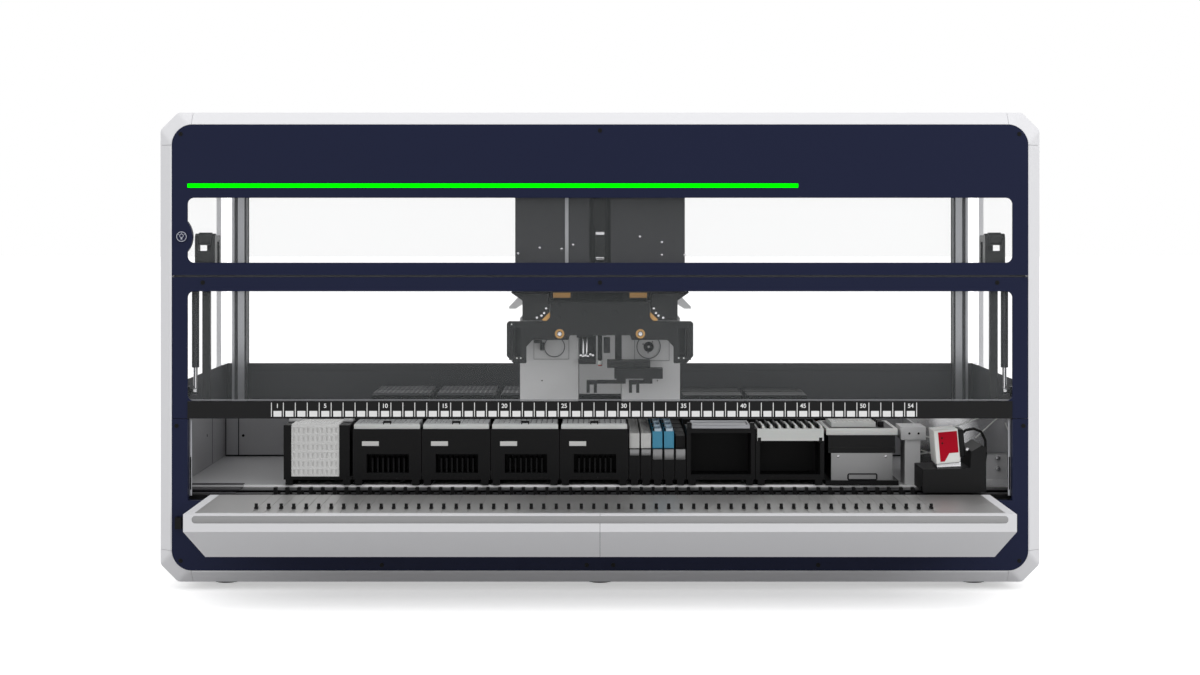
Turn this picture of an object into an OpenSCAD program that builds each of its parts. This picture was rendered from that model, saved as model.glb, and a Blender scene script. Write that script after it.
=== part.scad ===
// Liquid handling robot: a bench cabinet with a lift-up front cover, a loading tray,
// sliding carriers on a tracked deck, and a gantry arm with pipetting channels and a gripper.
// The origin is on the table, at the centre of the overall width and depth. Front is -Y.

/* [Housing] */
// Overall width
housing_w = 1664; // [1640:1:1760]
// Height of the housing top above the table
housing_h = 903; // [885:1:1000]
// Depth of the housing behind its front face
housing_d = 757; // [740:1:860]
// Height of the rubber feet
foot_h = 15; // [12:1:17]
// Thickness of the side panels
wall_t = 10; // [8:0.5:12]
// Width of the bevelled white bezel around the front
bezel_w = 25.4; // [22:0.2:28]
// Depth of that bezel
bezel_d = 26; // [22:1:30]
// Length of the cut at the housing corners
corner_cut = 33; // [26:1:40]
// Length of each corner piece along the edge
corner_len = 62; // [54:1:72]
// Width of the visible seams between panels
seam_w = 0.6; // [0.4:0.1:1]

/* [Front panels] */
// Thickness of the front panels
panel_t = 14; // [12:0.5:16]
// Corner radius of the front panels
panel_r = 38; // [30:1:44]
// Width of the stiles beside the windows
stile_w = 29.6; // [27:0.2:32]
// Height of the top rail of the upper panel
top_rail_h = 138; // [120:1:150]
// Height of the rail under the upper window
mid_rail_h = 23.4; // [18:0.2:26]
// Corner radius of the windows
window_r = 12; // [8:1:18]
// Thickness of the window panes
pane_t = 4; // [3:0.5:5]
// Width of the pane edge hidden behind the panel
pane_lap = 8; // [6:1:10]
// Length of the status light
led_len = 1152; // [900:1:1400]
// Height of the status light
led_h = 9.6; // [6:0.2:12]
// Diameter of the round light button
button_d = 20; // [17:0.5:21]
// Travel of the light button
button_travel = 2; // [1:0.5:3]

/* [Front cover] */
// Height of the loading opening above the deck
opening_h = 145; // [138:1:150]
// Height of the front cover
cover_h = 270; // [264:1:280]
// Height of the top rail of the cover
cover_rail_h = 26.5; // [26:0.5:34]
// Height of the scale bar along the bottom of the cover
label_bar_h = 33; // [28:1:38]
// Gap between the cover and the fixed panel above it
cover_gap = 4; // [4:0.5:6]
// Width of the gooseneck hinge arms
hinge_arm_w = 24; // [20:1:26]
// Thickness of the gooseneck hinge arms
hinge_arm_t = 12; // [10:0.5:12]
// Diameter of the hinge pins
hinge_pin_d = 10; // [8:0.5:12]
// Diameter of the gas strut cylinders
strut_d = 14; // [12:0.5:15]
// Diameter of the gas strut rods
rod_d = 8; // [6:0.5:9]

/* [Deck and tray] */
// Height of the deck above the table
deck_h = 181; // [176:1:184]
// Thickness of the deck plate
deck_t = 6; // [4:0.5:8]
// Distance between deck tracks
track_pitch = 22.5; // [22.2:0.1:22.5]
// Number of deck tracks
track_count = 54; // [50:1:54]
// How far the tray stands out in front of the housing
tray_reach = 249; // [220:1:280]
// Gap between each end of the tray and the edge of the front panels
tray_end = 70.6; // [60:0.2:80]
// Height of the flat band along the tray front
tray_band_h = 31; // [26:1:36]
// Height from the tray top down to its underside
tray_h = 85; // [78:1:90]
// Width of the white rim around the steel tray top
tray_rim = 17; // [12:1:22]
// Width of the tray and deck guide pins
pin_w = 6; // [4:0.5:7]
// Distance from the parked carriage to the side wall behind it
carriage_park = 209; // [200:1:216]
// Height of the guide pins above the deck
pin_h = 9; // [6:0.5:9.5]

/* [Carriers] */
// Gap between the carriers and the rear wall
carrier_end = 20; // [18:1:30]
// Height of a wide carrier's front plate
carrier_h = 110; // [95:1:118]
// Gap between neighbouring carriers
carrier_gap = 1.2; // [1:0.1:2]
// Height of the carrier floor above the deck
keel_h = 11; // [10.5:0.5:14]
// Slide of a carrier out over the tray
carrier_travel = 385; // [300:1:388]

/* [Arm] */
// Travel of the arm each way along the deck
arm_travel = 600; // [500:1:610]
// Width of the arm tower
tower_w = 332; // [300:1:340]
// Gap between the arm tower and the top of the housing
tower_gap = 45; // [41:1:60]
// Diameter of the guide rods in the arm
guide_d = 12; // [10:0.5:14]
// Distance between the guide rods
guide_gap = 60; // [54:1:64]
// Diameter of the pipetting probe
probe_d = 8; // [6:0.5:9]
// Downward travel of the pipetting probes
probe_travel = 85; // [60:1:88]
// Travel of each channel along the arm
channel_travel = 80; // [60:1:84]
// Downward travel of the gripper
gripper_travel = 38; // [30:1:38]
// Opening travel of each gripper jaw
jaw_travel = 10; // [6:1:12]

/* [Fits] */
// Radial clearance of rods and pins that turn or slide
fit = 0.05; // [0.03:0.01:0.08]
// Gap at which one piece rests on another
seat = 0.3; // [0.2:0.05:0.4]

/* [Hidden] */
$fn = 48;

// Colours
white = [0.87, 0.88, 0.9];
navy = [0.13, 0.15, 0.24];
black = [0.13, 0.13, 0.14];
dark_grey = [0.25, 0.24, 0.26];
mid_grey = [0.58, 0.58, 0.6];
steel = [0.68, 0.67, 0.67];
glass = [0.85, 0.92, 0.95, 0.3];
brass = [0.68, 0.52, 0.32];

// Housing planes
half_w = housing_w / 2;
inner_half = half_w - wall_t;
rear_y = (housing_d + tray_reach) / 2;
front_y = rear_y - housing_d;
body_y = front_y + bezel_d;
panel_back = front_y + panel_t;
panel_half = half_w - bezel_w;
panel_z0 = foot_h + bezel_w - 1;
panel_z1 = housing_h - bezel_w + 2;
window_half = panel_half - stile_w;
cover_z0 = deck_h + opening_h;
cover_z1 = cover_z0 + cover_h - cover_gap;
upper_z0 = cover_z1 + cover_gap;
upper_window_z0 = upper_z0 + mid_rail_h;
upper_window_z1 = panel_z1 - top_rail_h;
cover_window_z0 = cover_z0 + label_bar_h;
cover_window_z1 = cover_z1 - cover_rail_h;
sheet_t = 3;
rear_wall_y = rear_y - 93;
rear_wall_t = 8;
sill_h = 186;
sill_z = deck_h + sill_h;
side_window_y0 = body_y + 34;
side_window_y1 = rear_wall_y - 64;
side_window_z1 = housing_h - corner_len - 24;

// Deck and tray planes
first_track = -track_count * track_pitch / 2 - track_pitch / 2;
deck_front_y = body_y + 128;
tray_front_y = front_y - tray_reach;
tray_half = panel_half - tray_end;
tray_rear_y = body_y - 17;
trough_floor = deck_h - 63;
pin_row_tray = tray_front_y + 73;
pin_row_deck = body_y + 23;
carrier_y0 = deck_front_y - 7;
carrier_y1 = rear_wall_y - carrier_end;
carrier_len = carrier_y1 - carrier_y0;
carrier_floor = deck_h + keel_h;

// Hinge: pivot behind the fixed panel, and the strut pivots, as [y, z]
pivot = [panel_back + 10, upper_z0 + 68];
hinge_x = window_half - 30;
hook_reach = 88;
hinge_arm_x0 = hinge_x - hinge_arm_w / 2;
bar_w = 15;
strut_x = window_half - 9;
strut_top = [pivot[0] + 8, cover_z1 - 20];
strut_foot = [strut_top[0], cover_z0 + 49];

// Arm planes
arm_y0 = body_y + 72;
plate_t = 6;
arm_z0 = cover_z0 + 97;
rail_z0 = cover_z0 + 219;
rail_h = 55;
rail_y0 = rear_wall_y - 60;
beam_z0 = arm_z0 + 82;
beam_h = 52;
guide_z = arm_z0 + 97;
tower_y0 = arm_y0 + 56;
tower_y1 = tower_y0 + 340;
tower_z0 = beam_z0 + beam_h;
tower_top = housing_h - tower_gap;
housing_y0 = tower_y0 + 40;
channel_y = [tower_y0 + 25, tower_y0 + 145];
tip_z = arm_z0 - 11;
gripper_axis = [82, housing_y0 - 47];
gripper_z = arm_z0 - 32;
pulley_x = 96;
pulley_z = arm_z0 + 26;

// One corner of a polygon at q, between p and s, rounded with radius r
function unit(v) = v / norm(v);
function corner(p, q, s, r, n) =
    let (a = unit(p - q), b = unit(s - q),
        half = acos(a * b) / 2,
        c = q + unit(a + b) * r / sin(half),
        from = q + a * r / tan(half) - c,
        to = q + b * r / tan(half) - c,
        start = atan2(from.y, from.x),
        turn = (atan2(to.y, to.x) - start + 540) % 360 - 180)
    [for (i = [0:n]) c + r * [cos(start + turn * i / n), sin(start + turn * i / n)]];
function rounded(pts, r, n = 4) =
    let (m = len(pts))
    [for (i = [0:m - 1]) each corner(pts[(i + m - 1) % m], pts[i], pts[(i + 1) % m], r, n)];
function mirrored(pts) =
    concat(pts, [for (i = [len(pts) - 1:-1:0]) [-pts[i].x, pts[i].y]]);
function track_x(k) = first_track + k * track_pitch;

// The housing's front outline, shrunk by inset
function housing_outline(inset) =
    let (w = half_w - inset, z0 = foot_h + inset, z1 = housing_h - inset, c = corner_cut)
    mirrored([[w - c, z0], [w, z0 + c], [w, z1 - c], [w - c, z1]]);

// Extrude a drawing of [x, z] along Y, or of [y, z] along X
module along_y(y, t) {
    translate([0, y + t, 0]) rotate([90, 0, 0]) linear_extrude(t) children();
}
module along_x(x, t) {
    translate([x, 0, 0]) rotate([90, 0, 90]) linear_extrude(t) children();
}
module rod_x(x, y, z, d, t) {
    translate([x, y, z]) rotate([0, 90, 0]) cylinder(d = d, h = t);
}
module rod_y(x, y, z, d, t) {
    translate([x, y, z]) rotate([-90, 0, 0]) cylinder(d = d, h = t);
}
module box(x0, x1, y0, y1, z0, z1) {
    translate([x0, y0, z0]) cube([x1 - x0, y1 - y0, z1 - z0]);
}
module both_sides() {
    for (side = [0, 1]) mirror([side, 0, 0]) children();
}
module round_rect(x0, x1, z0, z1, r) {
    translate([x0 + r, z0]) square([x1 - x0 - 2 * r, z1 - z0]);
    translate([x0, z0 + r]) square([x1 - x0, z1 - z0 - 2 * r]);
    for (x = [x0 + r, x1 - r], z = [z0 + r, z1 - r]) translate([x, z]) circle(r);
}
module panel_outline(grow = 0) {
    round_rect(-panel_half - grow, panel_half + grow, panel_z0 - grow, panel_z1 + grow,
        panel_r + grow);
}

// ---- Housing ----
module base_frame() {
    rib_x = inner_half / 3;
    color(white) {
        difference() {
            along_y(body_y + seat, housing_d - bezel_d - seat)
                polygon(rounded(housing_outline(0), 8));
            along_y(body_y + seat + sheet_t, housing_d - bezel_d - seat - 2 * sheet_t)
                polygon(housing_outline(wall_t - 2 * sheet_t));
            box(-half_w - 1, half_w + 1, body_y, rear_y + 1,
                foot_h + corner_len - seam_w / 2, housing_h + 1);
        }
        both_sides() box(inner_half - wall_t, inner_half, body_y + 4 + sheet_t,
            rear_wall_y - seat, foot_h + sheet_t, deck_h - deck_t);
        for (x = [-rib_x, rib_x]) box(x - 4, x + 4, body_y + 4, rear_wall_y - seat,
            foot_h + sheet_t, trough_floor - seat);
        for (x = [-rib_x, rib_x]) box(x - 4, x + 4, deck_front_y + 2, rear_wall_y - seat,
            foot_h + sheet_t, deck_h - deck_t);
        box(-inner_half + 1, inner_half - 1, rear_wall_y - sheet_t - seat,
            rear_wall_y - seat, foot_h + sheet_t, deck_h - deck_t);
    }
}
module feet() {
    color(black)
        for (x = [-half_w + 110, 0, half_w - 110], y = [body_y + 90, rear_y - 90])
            translate([x, y, 0]) {
                cylinder(r = 24, h = foot_h - 4);
                cylinder(r = 18, h = foot_h);
            }
}
module side_panels() {
    z0 = foot_h + corner_len + seam_w / 2;
    z1 = housing_h - corner_len - seam_w / 2;
    color(white) both_sides() along_x(inner_half, wall_t) difference() {
        translate([body_y + seat, z0]) square([housing_d - bezel_d - seat, z1 - z0]);
        round_rect(side_window_y0, side_window_y1, sill_z, side_window_z1, 24);
    }
}
module side_windows() {
    color(glass) both_sides() along_x(inner_half + wall_t / 2 - pane_t / 2, pane_t)
        round_rect(side_window_y0 + seat, side_window_y1 - seat, sill_z + seat,
            side_window_z1 - seat, 24 - seat);
}
module top_cover() {
    color(white) difference() {
        along_y(body_y + seat, housing_d - bezel_d - seat)
            polygon(rounded(housing_outline(0), 8));
        along_y(body_y, housing_d - bezel_d - sheet_t)
            polygon(housing_outline(wall_t));
        box(-half_w - 1, half_w + 1, body_y, rear_y + 1, foot_h - 1,
            housing_h - corner_len + seam_w / 2);
        box(corner_cut + sheet_t - half_w, half_w - corner_cut - sheet_t, body_y + wall_t,
            rear_wall_y - 1, housing_h - wall_t - 1, housing_h - sheet_t);
    }
}
module bezel() {
    color(white) difference() {
        hull() {
            along_y(front_y, 1) polygon(rounded([for (p = housing_outline(bezel_w / 1.15)) p],
                corner_cut / 2, 5));
            along_y(body_y - 6, 6) polygon(rounded(housing_outline(0), 12, 5));
        }
        along_y(front_y - 1, bezel_d + 2) panel_outline(seat);
        for (x = [-1, 1]) box(x * (half_w - corner_len) - seam_w / 2,
            x * (half_w - corner_len) + seam_w / 2, front_y - 1, body_y + 1, 0, housing_h + 1);
        for (z = [foot_h + corner_len, housing_h - corner_len])
            box(-half_w - 1, half_w + 1, front_y - 1, body_y + 1,
                z - seam_w / 2, z + seam_w / 2);
    }
}
module window_cut(z0, z1) {
    along_y(front_y - 1, panel_t + 2) round_rect(-window_half, window_half, z0, z1, window_r);
    along_y(front_y + pane_t, panel_t) round_rect(-window_half - pane_lap,
        window_half + pane_lap, z0 - pane_lap, z1 + pane_lap, window_r);
}
module pane(z0, z1) {
    lap = pane_lap - seat;
    along_y(front_y + pane_t, pane_t) round_rect(-window_half - lap, window_half + lap,
        z0 - lap, z1 + lap, window_r);
}
button_x = -window_half - 11;
button_z = (upper_window_z0 + upper_window_z1) / 2 - 12;
led_z = upper_window_z1 + 23;
led_x0 = -window_half - 1;
module upper_front_panel() {
    color(navy) difference() {
        union() {
            difference() {
                along_y(front_y, panel_t) panel_outline();
                box(-half_w, half_w, front_y - 1, panel_back + 1, 0, upper_z0);
                window_cut(upper_window_z0, upper_window_z1);
            }
            intersection() {
                rod_y(button_x - 25, front_y, button_z, 90, panel_t);
                box(-panel_half, -window_half + 9, front_y, panel_back,
                    upper_window_z0, upper_window_z1);
            }
        }
        rod_y(button_x, front_y - 1, button_z, button_d + 2 * fit, panel_t + 2);
        along_y(front_y - 1, 4)
            round_rect(led_x0, led_x0 + led_len, led_z - led_h / 2, led_z + led_h / 2, 2);
    }
}
module upper_window() {
    color(glass) difference() {
        pane(upper_window_z0, upper_window_z1);
        rod_y(button_x - 25, front_y, button_z, 90 + 2 * seat, panel_t);
    }
}
module led_strip() {
    color([0.1, 1, 0.1]) along_y(front_y + 0.6, 2.4)
        round_rect(led_x0 + seat, led_x0 + led_len - seat, led_z - led_h / 2 + seat,
            led_z + led_h / 2 - seat, 1.7);
}
module light_button() {
    color(navy) {
        rod_y(button_x, front_y - 2.2, button_z, button_d, panel_t + 2.2 + seat);
        rod_y(button_x, panel_back + seat, button_z, button_d + 4, 3);
    }
}
module lower_front_frame() {
    color(navy) difference() {
        along_y(front_y, panel_t) panel_outline();
        box(-half_w, half_w, front_y - 1, panel_back + 1, cover_z0 - 1, housing_h);
        box(-window_half, window_half, front_y - 1, panel_back + 1,
            deck_h - 10, cover_z0 + 1);
    }
    color(mid_grey) both_sides() box(window_half, window_half + 4, panel_back,
        body_y + 20, deck_h - 3, cover_z0 - 14);
    color(navy) both_sides() box(window_half, panel_half - 6, panel_back,
        body_y + seat, panel_z0 + 30, deck_h - 9);
}
module front_screws() {
    color(black) {
        for (x = [-panel_half + 12, panel_half - 12], z = [panel_z0 + 12, panel_z1 - 12])
            rod_y(x, front_y - 0.8, z, 6, 0.8);
        for (x = [-415, -25, 25, 415]) rod_y(x, front_y - 0.8, panel_z0 + 4, 5, 0.8);
        both_sides() rod_y(panel_half - 9, front_y - 0.8, cover_z0 - 14, 6, 0.8);
    }
}

// ---- Rear wall, rail frame and panes ----
module rear_panel() {
    half = inner_half - seat;
    z0 = foot_h + corner_len + seam_w;
    z1 = housing_h - wall_t - seat;
    color(dark_grey) difference() {
        union() {
            along_y(rear_wall_y, rear_wall_t) polygon([[-half, z0], [half, z0],
                [half, z1 - corner_cut], [half - corner_cut, z1],
                [corner_cut - half, z1], [-half, z1 - corner_cut]]);
            box(-half, half, rear_wall_y, rear_y - sheet_t - seat, z0, sill_z - 10);
        }
        along_y(rear_wall_y - 1, rear_wall_t + 2)
            round_rect(-window_half + 4, window_half - 4, sill_z, side_window_z1, 18);
        box(-half + sheet_t, half - sheet_t, rear_wall_y + rear_wall_t,
            rear_y - 2 * sheet_t, z0 + sheet_t, sill_z - 10 - sheet_t);
        for (x = [0:40:280], z = [deck_h + 39, deck_h + 59])
            box(x - half * 0.6, x + 24 - half * 0.6, rear_y - 3 * sheet_t, rear_y, z, z + 6);
        box(half * 0.68, half * 0.68 + 50, rear_y - 3 * sheet_t, rear_y, deck_h + 19,
            deck_h + 51);
    }
}
module rear_window() {
    color(glass) along_y(rear_wall_y + 2, pane_t)
        round_rect(-window_half + 4 + seat, window_half - 4 - seat, sill_z + seat,
            side_window_z1 - seat, 18 - seat);
}
module rear_frame() {
    post_w = 30;
    color(mid_grey) {
        both_sides() difference() {
            box(window_half - 2, window_half - 2 + post_w, rail_y0 + 34,
                rear_wall_y - seat, deck_h, housing_h - wall_t - corner_cut);
            for (z = [sill_z + 20, sill_z + 90, upper_window_z1 - 40])
                rod_y(window_half + 18, rail_y0 + 30, z, 5, 12);
        }
        difference() {
            box(-inner_half + seat, inner_half - seat, rail_y0, rail_y0 + 34,
                rail_z0, rail_z0 + rail_h);
            for (z = [rail_z0 + 12, rail_z0 + rail_h - 20])
                box(-inner_half, inner_half, rail_y0 - 1, rail_y0 + 6, z, z + 8);
        }
    }
}

// ---- Deck, trough and tray ----
module deck_plate() {
    half = inner_half - seat;
    color(dark_grey) difference() {
        box(-half, half, deck_front_y, rear_wall_y - seat, deck_h - deck_t, deck_h);
        both_sides() box(window_half - 2 - seat, window_half + 28 + seat,
            rail_y0 + 34 - seat, rear_wall_y, deck_h - deck_t - 1, deck_h + 1);
        for (k = [0:track_count]) box(track_x(k) - 1, track_x(k) + 1, deck_front_y - 1,
            deck_front_y + 60, deck_h - 1.5, deck_h + 1);
    }
}
module loading_trough() {
    half = inner_half - wall_t - seat;
    y0 = body_y + 4;
    y1 = deck_front_y - seat;
    top = deck_h - 4;
    color(black) {
        box(-half, half, y0, y1, trough_floor, trough_floor + sheet_t);
        box(-half, half, y0, y0 + sheet_t, trough_floor, top - 6);
        box(-half, half, y1 - sheet_t, y1, trough_floor, top - 3);
        box(-half, half, pin_row_deck - 7, pin_row_deck + 7, trough_floor, top);
        box(-half, half, pin_row_deck + 35, pin_row_deck + 55, trough_floor,
            trough_floor + 30);
    }
}
module guide_pins() {
    color(black) for (k = [0:track_count]) {
        box(track_x(k) - pin_w / 2, track_x(k) + pin_w / 2, pin_row_deck - 7,
            pin_row_deck + 7, deck_h - 4, deck_h + pin_h);
        translate([track_x(k), pin_row_tray, deck_h]) {
            cylinder(d = pin_w, h = pin_h);
            translate([-pin_w / 2, -6, 0]) cube([pin_w, 12, 3]);
        }
    }
}
function tray_side(inset) = [[tray_front_y + inset, deck_h - 3 - inset],
    [tray_front_y + inset, deck_h - tray_band_h],
    [tray_front_y + 60 + inset, deck_h - tray_h + inset],
    [front_y - seat - inset, deck_h - tray_h + inset],
    [front_y - seat - inset, deck_h - 3 - inset]];
function tray_front(inset) = mirrored([[tray_half - 28 - inset, deck_h - tray_h],
    [tray_half - inset, deck_h - tray_band_h], [tray_half - inset, deck_h]]);
module tray_body(inset) {
    intersection() {
        along_x(-tray_half, 2 * tray_half) polygon(tray_side(inset));
        along_y(tray_front_y, tray_reach) polygon(tray_front(inset));
    }
}
module tray_shell() {
    strip_half = tray_half - 15;
    color(white) difference() {
        union() {
            tray_body(0);
            difference() {
                box(-tray_half, tray_half, tray_front_y, tray_rear_y, deck_h - 3, deck_h);
                box(-tray_half + tray_rim, tray_half - tray_rim, tray_front_y + tray_rim,
                    tray_rear_y + 1, deck_h - 4, deck_h + 1);
            }
        }
        tray_body(4);
        along_y(tray_front_y - 1, 4) round_rect(-strip_half, strip_half,
            deck_h - 16, deck_h - 3, 6);
        box(-seam_w / 2, seam_w / 2, tray_front_y - 1, front_y + 10,
            deck_h - tray_h - 1, deck_h + 1);
    }
}
module tray_top() {
    half = tray_half - tray_rim - seat;
    color(steel) difference() {
        box(-half, half, tray_front_y + tray_rim + seat, tray_rear_y,
            deck_h - 3, deck_h);
        for (k = [0:track_count]) box(track_x(k) - 0.7, track_x(k) + 0.7,
            tray_front_y, tray_rear_y + 1, deck_h - 0.8, deck_h + 1);
    }
}
module tray_latch() {
    color(black) box(-panel_half + 8, -panel_half + 20, front_y - 12, front_y,
        deck_h - 62, deck_h - 40);
}

// ---- Hinges, cover and gas struts ----
module hinge_brackets() {
    cheek = 6;
    gap = hinge_arm_w / 2 + 1;
    color(black) both_sides() {
        for (x = [hinge_x - gap - cheek, hinge_x + gap]) along_x(x, cheek) {
            translate([panel_back, upper_z0 + 4]) square([24, pivot[1] - upper_z0 - 4]);
            translate(pivot) circle(10);
        }
        box(hinge_x - gap - cheek, hinge_x + gap + cheek, panel_back, panel_back + 3,
            upper_z0 + 4, upper_window_z0 + 22);
        rod_x(hinge_x - gap, pivot[0], pivot[1], hinge_pin_d, 2 * gap);
        box(strut_x + 10, inner_half, body_y + 1, strut_foot[0] + 9,
            strut_foot[1] - 9, strut_foot[1] + 9);
        rod_x(strut_x + 3 + seat, strut_foot[0], strut_foot[1], 8, 8);
    }
}
function hook_outline() =
    let (t = hinge_arm_t, y0 = panel_back, z0 = cover_z1 - 12 - t,
        y1 = pivot[0] + hook_reach, z1 = pivot[1] + t / 2)
    [[y0, z0], [y1, z0], [y1, z1], [pivot[0], z1], [pivot[0], z1 - t], [y1 - t, z1 - t],
        [y1 - t, z0 + t], [y0, z0 + t]];
module hinge_arms() {
    color(black) both_sides() {
        difference() {
            union() {
                along_x(hinge_arm_x0, hinge_arm_w) {
                    polygon(rounded(hook_outline(), 5.5, 5));
                    translate(pivot) circle(12);
                }
                box(hinge_x - 10, hinge_x - 10 + bar_w, panel_back, panel_back + hinge_arm_t,
                    cover_z0 + 8, cover_z1 - 14);
            }
            rod_x(hinge_arm_x0 - 1, pivot[0], pivot[1], hinge_pin_d + 2 * fit,
                hinge_arm_w + 2);
        }
        rod_x(hinge_arm_x0 + hinge_arm_w - 1, strut_top[0], strut_top[1], 7,
            strut_x + 4 - hinge_arm_x0 - hinge_arm_w);
    }
}
module cover_frame() {
    color(navy) difference() {
        box(-panel_half + 0.7, panel_half - 0.7, front_y, panel_back, cover_z0, cover_z1);
        window_cut(cover_window_z0, cover_window_z1);
        box(-window_half, window_half, front_y - 1, panel_back + 1,
            cover_z0 - 1, cover_window_z0);
    }
}
module cover_window() {
    color(glass) pane(cover_window_z0, cover_window_z1);
}
module label_bar() {
    half = window_half - seat;
    color(black) difference() {
        box(-half, half, front_y - 1.5, panel_back, cover_z0, cover_window_z0 - 0.5);
        box(-half - 1, half + 1, front_y + pane_t - seat, panel_back + 1,
            cover_window_z0 - pane_lap - seat, cover_window_z0);
    }
    color(black) both_sides() box(window_half - 24, window_half + 8, panel_back,
        panel_back + 4, cover_z0 + 2, cover_window_z0 - pane_lap - 2);
}
strut_len = strut_top[1] - strut_foot[1];
cylinder_len = strut_len - 49;
module strut_cylinders() {
    z1 = strut_top[1];
    color(dark_grey) both_sides() difference() {
        union() {
            translate([strut_x, strut_top[0], z1 - cylinder_len - 4])
                cylinder(d = strut_d, h = cylinder_len);
            rod_x(strut_x - 4, strut_top[0], z1, 13, 8);
        }
        rod_x(strut_x - 8, strut_top[0], z1, 7 + 2 * fit, 16);
        translate([strut_x, strut_top[0], z1 - cylinder_len - 5])
            cylinder(d = rod_d + 2 * fit, h = cylinder_len - 6);
    }
}
module strut_rods() {
    z0 = strut_foot[1];
    color(steel) both_sides() difference() {
        union() {
            translate([strut_x, strut_foot[0], z0 + 4]) cylinder(d = rod_d, h = strut_len - 22);
            rod_x(strut_x - 3, strut_foot[0], z0, 14, 6);
        }
        rod_x(strut_x - 8, strut_foot[0], z0, 5, 16);
    }
}

// ---- Arm ----
module front_plate_outline() {
    z = arm_z0;
    polygon(rounded(mirrored([[58, z + 54], [61, z + 45], [130, z + 45], [142, z + 32],
        [142, z], [167, z], [180, z + 14], [180, z + 77], [176, z + 81], [103, z + 81],
        [96, z + 89], [96, z + 118]]), 1.8, 3));
}
module arm_frame() {
    beam_y1 = rail_y0 - 36;
    wing_x = tower_w / 2 - 20;
    color(black) {
        difference() {
            union() {
                along_y(arm_y0, plate_t) front_plate_outline();
                both_sides() box(150, 176, arm_y0 + plate_t, arm_y0 + 40, arm_z0 + 6,
                    arm_z0 + 74);
            }
            both_sides() box(154, 168, arm_y0 - 1, arm_y0 + 30, arm_z0 + 12, arm_z0 + 68);
            both_sides() rod_y(guide_gap / 2, arm_y0 - 1, guide_z, guide_d, plate_t + 2);
        }
        both_sides() difference() {
            box(100, 150, arm_y0 + plate_t, beam_y1, beam_z0, beam_z0 + beam_h);
            box(104, 151, arm_y0 + 40, beam_y1 - 40, beam_z0 + 6, beam_z0 + beam_h - 6);
        }
        difference() {
            union() {
                box(-150, 150, beam_y1 - 4, rail_y0 - seat, beam_z0, rail_z0 + rail_h);
                box(-150, 150, rail_y0 - 8, rail_y0 + 30, rail_z0 + rail_h + seat,
                    rail_z0 + rail_h + 12);
                box(-150, 150, beam_y1 - 4, rail_y0 - seat, rail_z0, rail_z0 + rail_h + 12);
            }
            both_sides() rod_y(guide_gap / 2, beam_y1 - 5, guide_z, guide_d, 30);
        }
    }
    color(mid_grey) both_sides() along_y(arm_y0 + plate_t, tower_y0 - arm_y0 - plate_t - 1)
        polygon([[wing_x, tower_z0 - 1], [wing_x, tower_z0 - 24],
            [wing_x + sheet_t, tower_z0 - 24], [wing_x + sheet_t, tower_z0 - 14],
            [wing_x + 26, tower_z0 + 2], [wing_x + 24, tower_z0 + 5]]);
}
module arm_tower() {
    half = tower_w / 2;
    color(dark_grey) difference() {
        box(-half, half, tower_y0, tower_y1, tower_z0, tower_top);
        box(-half + sheet_t, half - sheet_t, tower_y0 + sheet_t, tower_y1 + 1,
            tower_z0 - 1, tower_top - sheet_t);
        box(-21, 21, tower_y0 - 1, tower_y0 + sheet_t + 1, tower_z0 + 40, tower_top - 30);
    }
    color(dark_grey) both_sides() box(100, half, tower_y0 + 20, tower_y1 - 20,
        tower_z0, tower_z0 + sheet_t);
    color(steel) box(-68, -62, tower_y0 - 3, tower_y0, tower_z0 + 20, tower_top - 6);
}
module arm_housings() {
    half = 158;
    z0 = cover_z0 + 12;
    recess = 43;
    y1 = tower_y1;
    back_y = channel_y[1] + channel_travel + 20;
    color([0.66, 0.67, 0.68]) difference() {
        box(-half, half, housing_y0, y1, z0, beam_z0);
        box(-recess, recess, housing_y0 - 1, back_y, z0 - 1, beam_z0 + 1);
        both_sides() box(recess + sheet_t, half - sheet_t, housing_y0 + sheet_t,
            y1 - sheet_t, z0 - 1, beam_z0 - sheet_t);
        box(-recess, recess, back_y + sheet_t, y1 - sheet_t, z0 - 1, beam_z0 - sheet_t);
        rod_y(pulley_x, housing_y0 - 1, pulley_z, 46, 2.5);
        rod_y(-90, housing_y0 - 1, pulley_z, 44, 2.5);
    }
    color(mid_grey) {
        rod_y(pulley_x, housing_y0 - 1, pulley_z, 40, 3);
        rod_y(pulley_x, housing_y0 - 3, pulley_z, 12, 4);
    }
}
module arm_guide_rods() {
    color(steel) both_sides() rod_y(guide_gap / 2, arm_y0 + 1, guide_z, guide_d,
        rail_y0 - 36 - arm_y0 + 18);
}
module arm_brass() {
    color(brass) both_sides() {
        rod_y(78, arm_y0 - 4, arm_z0 + 57, 18, 4);
        box(46, 78, arm_y0 + 60, arm_y0 + 92, beam_z0 + beam_h, beam_z0 + beam_h + 26);
        box(46, 100, arm_y0 + 60, arm_y0 + 92, beam_z0 + beam_h - 10, beam_z0 + beam_h);
    }
}
module channel(k) {
    y = channel_y[k];
    z0 = guide_z - 17;
    color(black) translate([0, y, 0]) difference() {
        union() {
            box(-40, 40, -8, 8, z0, z0 + 34);
            box(-12, 12, -9, 9, tip_z + 60, tower_top - 60);
        }
        both_sides() rod_y(guide_gap / 2, -20, guide_z, guide_d + 2 * fit, 40);
        translate([0, 0, tip_z]) cylinder(d = probe_d + 2 * fit, h = tower_top);
    }
}
module probe(k) {
    y = channel_y[k];
    color(black) translate([0, y, tip_z]) {
        cylinder(d = probe_d - 2, h = 12);
        translate([0, 0, 12]) cylinder(d = probe_d + 1, h = 40);
        translate([0, 0, 52]) cylinder(d = probe_d, h = probe_travel + 140);
    }
}
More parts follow.
